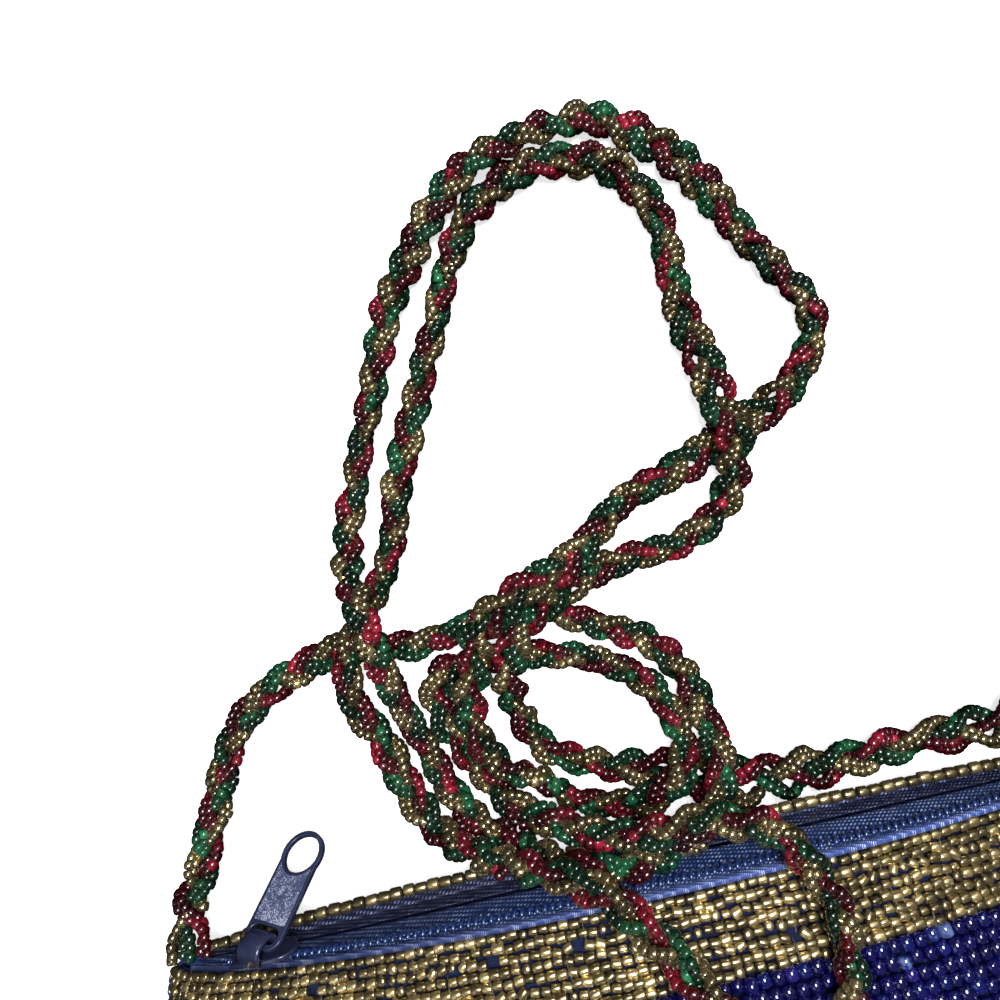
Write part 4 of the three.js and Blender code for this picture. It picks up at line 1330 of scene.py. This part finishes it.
def strand_line(settings, strand):
    """Centre line of one strand along the plait."""
    phase = strand["phase"]
    route = np.array([LEFT_ANCHOR] + list(STRAP_ROUTE) + [RIGHT_ANCHOR]) * MM
    line = route_curve(route, ROUTE_STEPS)
    total = arc_lengths(line)[-1]
    places = np.arange(0, total, ROUTE_SPACING)
    centre = even_points(line, places)
    side, rise = line_frame(centre)
    loose = smooth_step(places, total - LOOSE_LENGTH, total - LOOSE_START * LOOSE_LENGTH)
    repeats = np.cumsum(np.gradient(places) / (settings.plait_repeat * (1 + LOOSE_REPEAT * loose)))
    turn = 2 * np.pi * (repeats + phase) + plait_waves(places, TURN_WAVES, phase)
    ends = 1 - smooth_step(places, SPLAY_HELD * SPLAY_LENGTH, SPLAY_LENGTH)
    far_ends = 1 - smooth_step(total - places, SPLAY_HELD * SPLAY_LENGTH, SPLAY_LENGTH)
    splayed = np.maximum(ends, far_ends)
    splay_side = np.where(ends > 0, 1.0, -1.0) * strand["splay"] * MM
    wander = 1 + plait_waves(places, SLACK_WAVES, phase)
    swing = np.sin(turn) * (1 - SWAY_PEAK + SWAY_PEAK * np.sin(turn) ** 2)
    beside = smooth_step(centre[:, 0], *SIDE_X) * smooth_step(centre[:, 1], *SIDE_Y)
    spread = settings.strand_sway * (1 + LOOSE_SWAY * loose + SIDE_SWAY * beside)
    sway = (1 - splayed) * spread * wander * swing + splayed * splay_side
    lift = (1 - splayed) * settings.strand_lift * np.sin(2 * turn)
    return centre + side * sway[:, None] + rise * lift[:, None]


def strand_strings(settings, strand):
    """The two strings of a strand, side by side and winding flatly about each other."""
    phase = strand["phase"]
    line = strand_line(settings, strand)
    places = arc_lengths(line)
    side, rise = line_frame(line)
    wander = plait_waves(places, PAIR_WAVES, phase)
    turn = 2 * np.pi * (places / settings.pair_twist + PAIR_PHASE * phase) + wander
    beside = side * np.cos(turn)[:, None]
    above = rise * (PAIR_FLATNESS * np.sin(turn))[:, None]
    offset = settings.pair_gap / 2 * (beside + above)
    return line + offset, line - offset


def strand_beads(settings, strand, seed):
    """Beads of one strand's two strings, their tone drifting along each string; its brightest stretches and
    a few bright beads are a painted glow of light through the glass.
    """
    random = np.random.default_rng(seed)
    centres, axes, tones = [], [], []
    for number, string in enumerate(strand_strings(settings, strand)):
        first = (0.5 + 0.5 * number) * settings.bead_pitch
        places = np.arange(first, arc_lengths(string)[-1], settings.bead_pitch)
        places = places + random.normal(0, 0.04 * MM, len(places))
        string_centres = even_points(string, places)
        centres.append(string_centres)
        axes.append(unit(np.gradient(string_centres, axis=0)))
        tone = TONE_MIDDLE
        for size, length, by_strand, by_string in TONE_WAVES:
            tone = tone + size * np.sin(places / (length * MM) + by_strand * seed + by_string * number)
        tones.append(tone)
    centres = np.concatenate(centres)
    count = len(centres)
    axes = np.concatenate(axes) + random.normal(0, 0.09, (count, 3))
    radii = settings.bead_diameter / 2 * random.normal(1.0, 0.05, count)
    centres[:, 2] = np.maximum(centres[:, 2], FLOOR_CLEARANCE * radii)
    lengths = settings.bead_pitch / 2 * random.normal(1.02, 0.05, count)
    tones = np.clip(np.concatenate(tones) + random.normal(0, 0.07, count), 0, 1)
    # Painted glow: a few beads lit bright as if by light through the glass
    bright = random.random(count) > 0.98
    tones = np.where(bright, random.uniform(0.65, 0.95, count), tones)
    name = f"strap_{strand['name']}_beads"
    return bead_cloud(name, centres, axes, radii, lengths, tones, STRUNG_BEAD, STRUNG_SIDES, random)


# Operators


def finishes(context):
    """Makes each finish once and keeps it by its name."""
    scene = context.scene
    strap, pouch, zipper = scene.bag_strap, scene.bag_pouch, scene.bag_zip
    pitch = zipper.rib_pitch
    makers = {
        "garnet_beads": (bead_finish, strap.red, BEAD_LOOKS["glass"]),
        "green_beads": (bead_finish, strap.green, BEAD_LOOKS["glass"]),
        "gold_beads": (bead_finish, strap.gold, BEAD_LOOKS["gold"]),
        "lined_beads": (bead_finish, strap.gold, BEAD_LOOKS["lined"]),
        "cobalt_beads": (bead_finish, pouch.blue, BEAD_LOOKS["cobalt"]),
        "blue_satin": (satin_finish, pouch.satin),
        "navy_twill": (twill_finish, zipper.tape, pitch, TWILL_LOOKS["tape"]),
        "facing_twill": (twill_finish, pouch.navy, pitch, TWILL_LOOKS["dark"]),
        "blue_twill": (twill_finish, scaled(pouch.satin, 2.3), pitch, TWILL_LOOKS["pale"]),
        # The ground between the beads: the satin darkened to a painted shade
        "bead_ground": (matte_ground_finish, scaled(pouch.satin, 0.25)),
        "navy_coil": (nylon_finish, scaled(zipper.tape, 0.8)),
        "gold_thread": (thread_finish, (0.2, 0.17, 0.12)),
        "blue_thread": (thread_finish, (0.03, 0.05, 0.2)),
        "smooth_enamel": (enamel_finish, zipper.enamel, 0.24, 0.4, 0.08),
        "hammered_enamel": (enamel_finish, (0.066, 0.084, 0.176), 0.34, 0.5, 0.6),
    }

    def get(name):
        maker, *values = makers[name]
        return bpy.data.materials.get(name) or maker(name, *values)

    return get


class BAG_OT_strap(bpy.types.Operator):
    """Plait the strap's three colours of bead strings along its route"""

    bl_idname = "bag.strap"
    bl_label = "Plaited strap"

    def execute(self, context):
        settings = context.scene.bag_strap
        get = finishes(context)
        looks = {"red": "garnet_beads", "green": "green_beads", "gold": "gold_beads"}
        slots = {"red": "beads_red", "green": "beads_green", "gold": "beads_gold"}
        for index, strand in enumerate(STRANDS):
            obj = strand_beads(settings, strand, 40 + index)
            name = strand["name"]
            finish_piece(obj, BAG, get(looks[name]), slots[name], "strap_left", "strap_right")
        return {"FINISHED"}


class BAG_OT_cloth(bpy.types.Operator):
    """Build the satin ground of the front and the satin back, with the stitches of their seam"""

    bl_idname = "bag.cloth"
    bl_label = "Satin front and back"

    def execute(self, context):
        settings = context.scene.bag_pouch
        get = finishes(context)
        ground, flat = front_ground(settings)
        finish_piece(ground, BAG, get("bead_ground"), "satin_blue", "front_panel")
        back, area = back_sheet()
        finish_piece(back, BAG, get("blue_satin"), "satin_blue", "back_panel")
        stitches = seam_stitches()
        finish_piece(stitches, BAG, get("blue_thread"), "satin_blue")
        return {"FINISHED"}


class BAG_OT_front_beads(bpy.types.Operator):
    """Sew the blue field and the gold band onto the front"""

    bl_idname = "bag.front_beads"
    bl_label = "Front beads"

    def execute(self, context):
        settings = context.scene.bag_pouch
        get = finishes(context)
        for obj in blue_field(settings):
            finish_piece(obj, BAG, get("cobalt_beads"), "beads_blue", "front_panel")
        band = gold_band(settings)
        finish_piece(band, BAG, get("lined_beads"), "beads_gold", "front_panel")
        threads = band_stitches(settings)
        finish_piece(threads, BAG, get("gold_thread"), "beads_gold")
        return {"FINISHED"}


class BAG_OT_rim(bpy.types.Operator):
    """String the gold beads along the back lip"""

    bl_idname = "bag.rim"
    bl_label = "Back rim beads"

    def execute(self, context):
        get = finishes(context)
        rim = rim_string(context.scene.bag_pouch)
        finish_piece(rim, BAG, get("lined_beads"), "beads_gold", "back_rim_beads")
        return {"FINISHED"}


class BAG_OT_zip(bpy.types.Operator):
    """Lay the facings, the tapes and the coil of the zip on the slope between the lips"""

    bl_idname = "bag.zip"
    bl_label = "Zip"

    def execute(self, context):
        settings = context.scene.bag_zip
        get = finishes(context)
        strips = (
            ("zip_tape_back", "navy_twill", "zip_tape", TAPE_REACH, 0.2 * MM),
            ("zip_tape_front", "navy_twill", "zip_tape", TAPE_REACH, 0.05 * MM),
            ("front_facing", "blue_twill", "satin_blue", FACING_REACH, 0.2 * MM),
        )
        finish_piece(back_facing_cloth(), BAG, get("facing_twill"), "satin_navy", "back_facing")
        for node, look, slot_name, reach, bulge in strips:
            strip = slope_strip(f"{node}_cloth", ZIP_SHARES[node], reach, bulge)
            finish_piece(strip, BAG, get(look), slot_name, node)
        bed = slope_strip("zip_coil_bed", COIL_BED_SHARES, TAPE_REACH, 0.0)
        finish_piece(bed, BAG, get("navy_twill"), "zip_tape", "zip_coil")
        finish_piece(zip_turns(settings), BAG, get("navy_coil"), "zip_coil", "zip_coil")
        return {"FINISHED"}


class BAG_OT_pull(bpy.types.Operator):
    """Build the slider with its hood and the pull tab that swings under it"""

    bl_idname = "bag.pull"
    bl_label = "Slider and pull"

    def execute(self, context):
        settings = context.scene.bag_zip
        get = finishes(context)
        body = slider_body(get("smooth_enamel"))
        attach(body, BAG)
        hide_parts("zip_slider")
        tab = pull_tab(settings, get("smooth_enamel"), get("hammered_enamel"))
        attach(tab, PULL)
        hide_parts("zip_pull")
        return {"FINISHED"}


FLOOR_HALF_WIDTH = 1.5
FLOOR_DROP = 0.2 * MM
FLOOR_GLOW = 0.7
SIDE_LIGHT_SHARE = 0.12
LIGHT_TARGET = Vector((0.0, 0.1, 0.0))
# Sky: share of the way up, and grey there
SKY_GREYS = ((0.0, 0.02), (0.12, 0.25), (0.9, 1.0))


class BAG_OT_stage(bpy.types.Operator):
    """Set the floor, the soft light and the camera"""

    bl_idname = "bag.stage"
    bl_label = "Stage"

    def execute(self, context):
        scene = context.scene
        settings = scene.bag_stage
        size = FLOOR_HALF_WIDTH
        corners = [(-size, -size, 0), (size, -size, 0), (size, size, 0), (-size, size, 0)]
        floor = mesh_object("floor", corners, [(0, 1, 2, 3)], False)
        floor.location.z = -FLOOR_DROP
        material, nodes, links, shader = new_finish("pale_floor")
        stops = ((0.3, scaled(settings.floor, 0.985)), (0.7, settings.floor))
        cloud = add_noise(nodes, links, 3.0, 2.0)
        links.new(add_ramp(nodes, links, stops, cloud), shader.inputs["Base Color"])
        set_inputs(shader, {"Roughness": 0.9})
        set_inputs(shader, {"Emission Color": (1.0, 1.0, 1.0, 1.0), "Emission Strength": FLOOR_GLOW})
        floor.data.materials.append(material)
        floor.visible_diffuse = False
        floor.visible_glossy = False
        world = bpy.data.worlds.new("even sky")
        world.use_nodes = True
        sky_nodes, sky_links = world.node_tree.nodes, world.node_tree.links
        direction = sky_nodes.new("ShaderNodeTexCoord")
        upward = sky_nodes.new("ShaderNodeSeparateXYZ")
        sky_links.new(direction.outputs["Generated"], upward.inputs["Vector"])
        stops = tuple((place, (grey, grey, grey)) for place, grey in SKY_GREYS)
        dome = add_ramp(sky_nodes, sky_links, stops, upward.outputs["Z"])
        background = sky_nodes["Background"]
        sky_links.new(dome, background.inputs["Color"])
        background.inputs["Strength"].default_value = settings.sky
        scene.world = world
        lights = (
            ("key", (0.02, 0.2, 0.42), 0.2, settings.key_power),
            ("fill", (-0.35, -0.1, 0.4), 0.35, settings.key_power * SIDE_LIGHT_SHARE),
            ("back", (0.3, 0.45, 0.35), 0.3, settings.key_power * SIDE_LIGHT_SHARE),
        )
        for name, place, width, power in lights:
            lamp = bpy.data.lights.new(name, "AREA")
            lamp.shape = "DISK"
            lamp.size = width
            lamp.energy = power
            holder = bpy.data.objects.new(name, lamp)
            holder.location = place
            aim = LIGHT_TARGET - Vector(place)
            holder.rotation_euler = aim.to_track_quat("-Z", "Y").to_euler()
            scene.collection.objects.link(holder)
        camera = bpy.data.cameras.new("camera")
        camera.sensor_width = 36.0
        camera.lens = settings.lens
        camera.clip_start = 0.005
        stand = bpy.data.objects.new("camera", camera)
        stand.location = settings.camera_place
        stand.rotation_euler = (0.0, 0.0, settings.camera_turn)
        scene.collection.objects.link(stand)
        scene.camera = stand
        scene.view_settings.view_transform = "Standard"
        return {"FINISHED"}


class BAG_PT_panel(bpy.types.Panel):
    """Lists the bag's pieces"""

    bl_idname = "BAG_PT_panel"
    bl_label = "Beaded bag"
    bl_space_type = "VIEW_3D"
    bl_region_type = "UI"
    bl_category = "Beaded bag"

    def draw(self, context):
        for operator in OPERATORS:
            self.layout.operator(operator.bl_idname)


SETTINGS = (
    ("bag_strap", BagStrapSettings),
    ("bag_pouch", BagPouchSettings),
    ("bag_zip", BagZipSettings),
    ("bag_stage", BagStageSettings),
)
OPERATORS = (
    BAG_OT_strap, BAG_OT_cloth, BAG_OT_front_beads, BAG_OT_rim, BAG_OT_zip, BAG_OT_pull, BAG_OT_stage,
)


def register():
    for name, group in SETTINGS:
        bpy.utils.register_class(group)
        setattr(bpy.types.Scene, name, PointerProperty(type=group))
    for operator in OPERATORS:
        bpy.utils.register_class(operator)
    bpy.utils.register_class(BAG_PT_panel)


def unregister():
    bpy.utils.unregister_class(BAG_PT_panel)
    for operator in reversed(OPERATORS):
        bpy.utils.unregister_class(operator)
    for name, group in reversed(SETTINGS):
        delattr(bpy.types.Scene, name)
        bpy.utils.unregister_class(group)


def main():
    register()
    bpy.ops.bag.stage()
    bpy.ops.bag.strap()
    bpy.ops.bag.cloth()
    bpy.ops.bag.front_beads()
    bpy.ops.bag.rim()
    bpy.ops.bag.zip()
    bpy.ops.bag.pull()


if __name__ == "__main__":
    main()
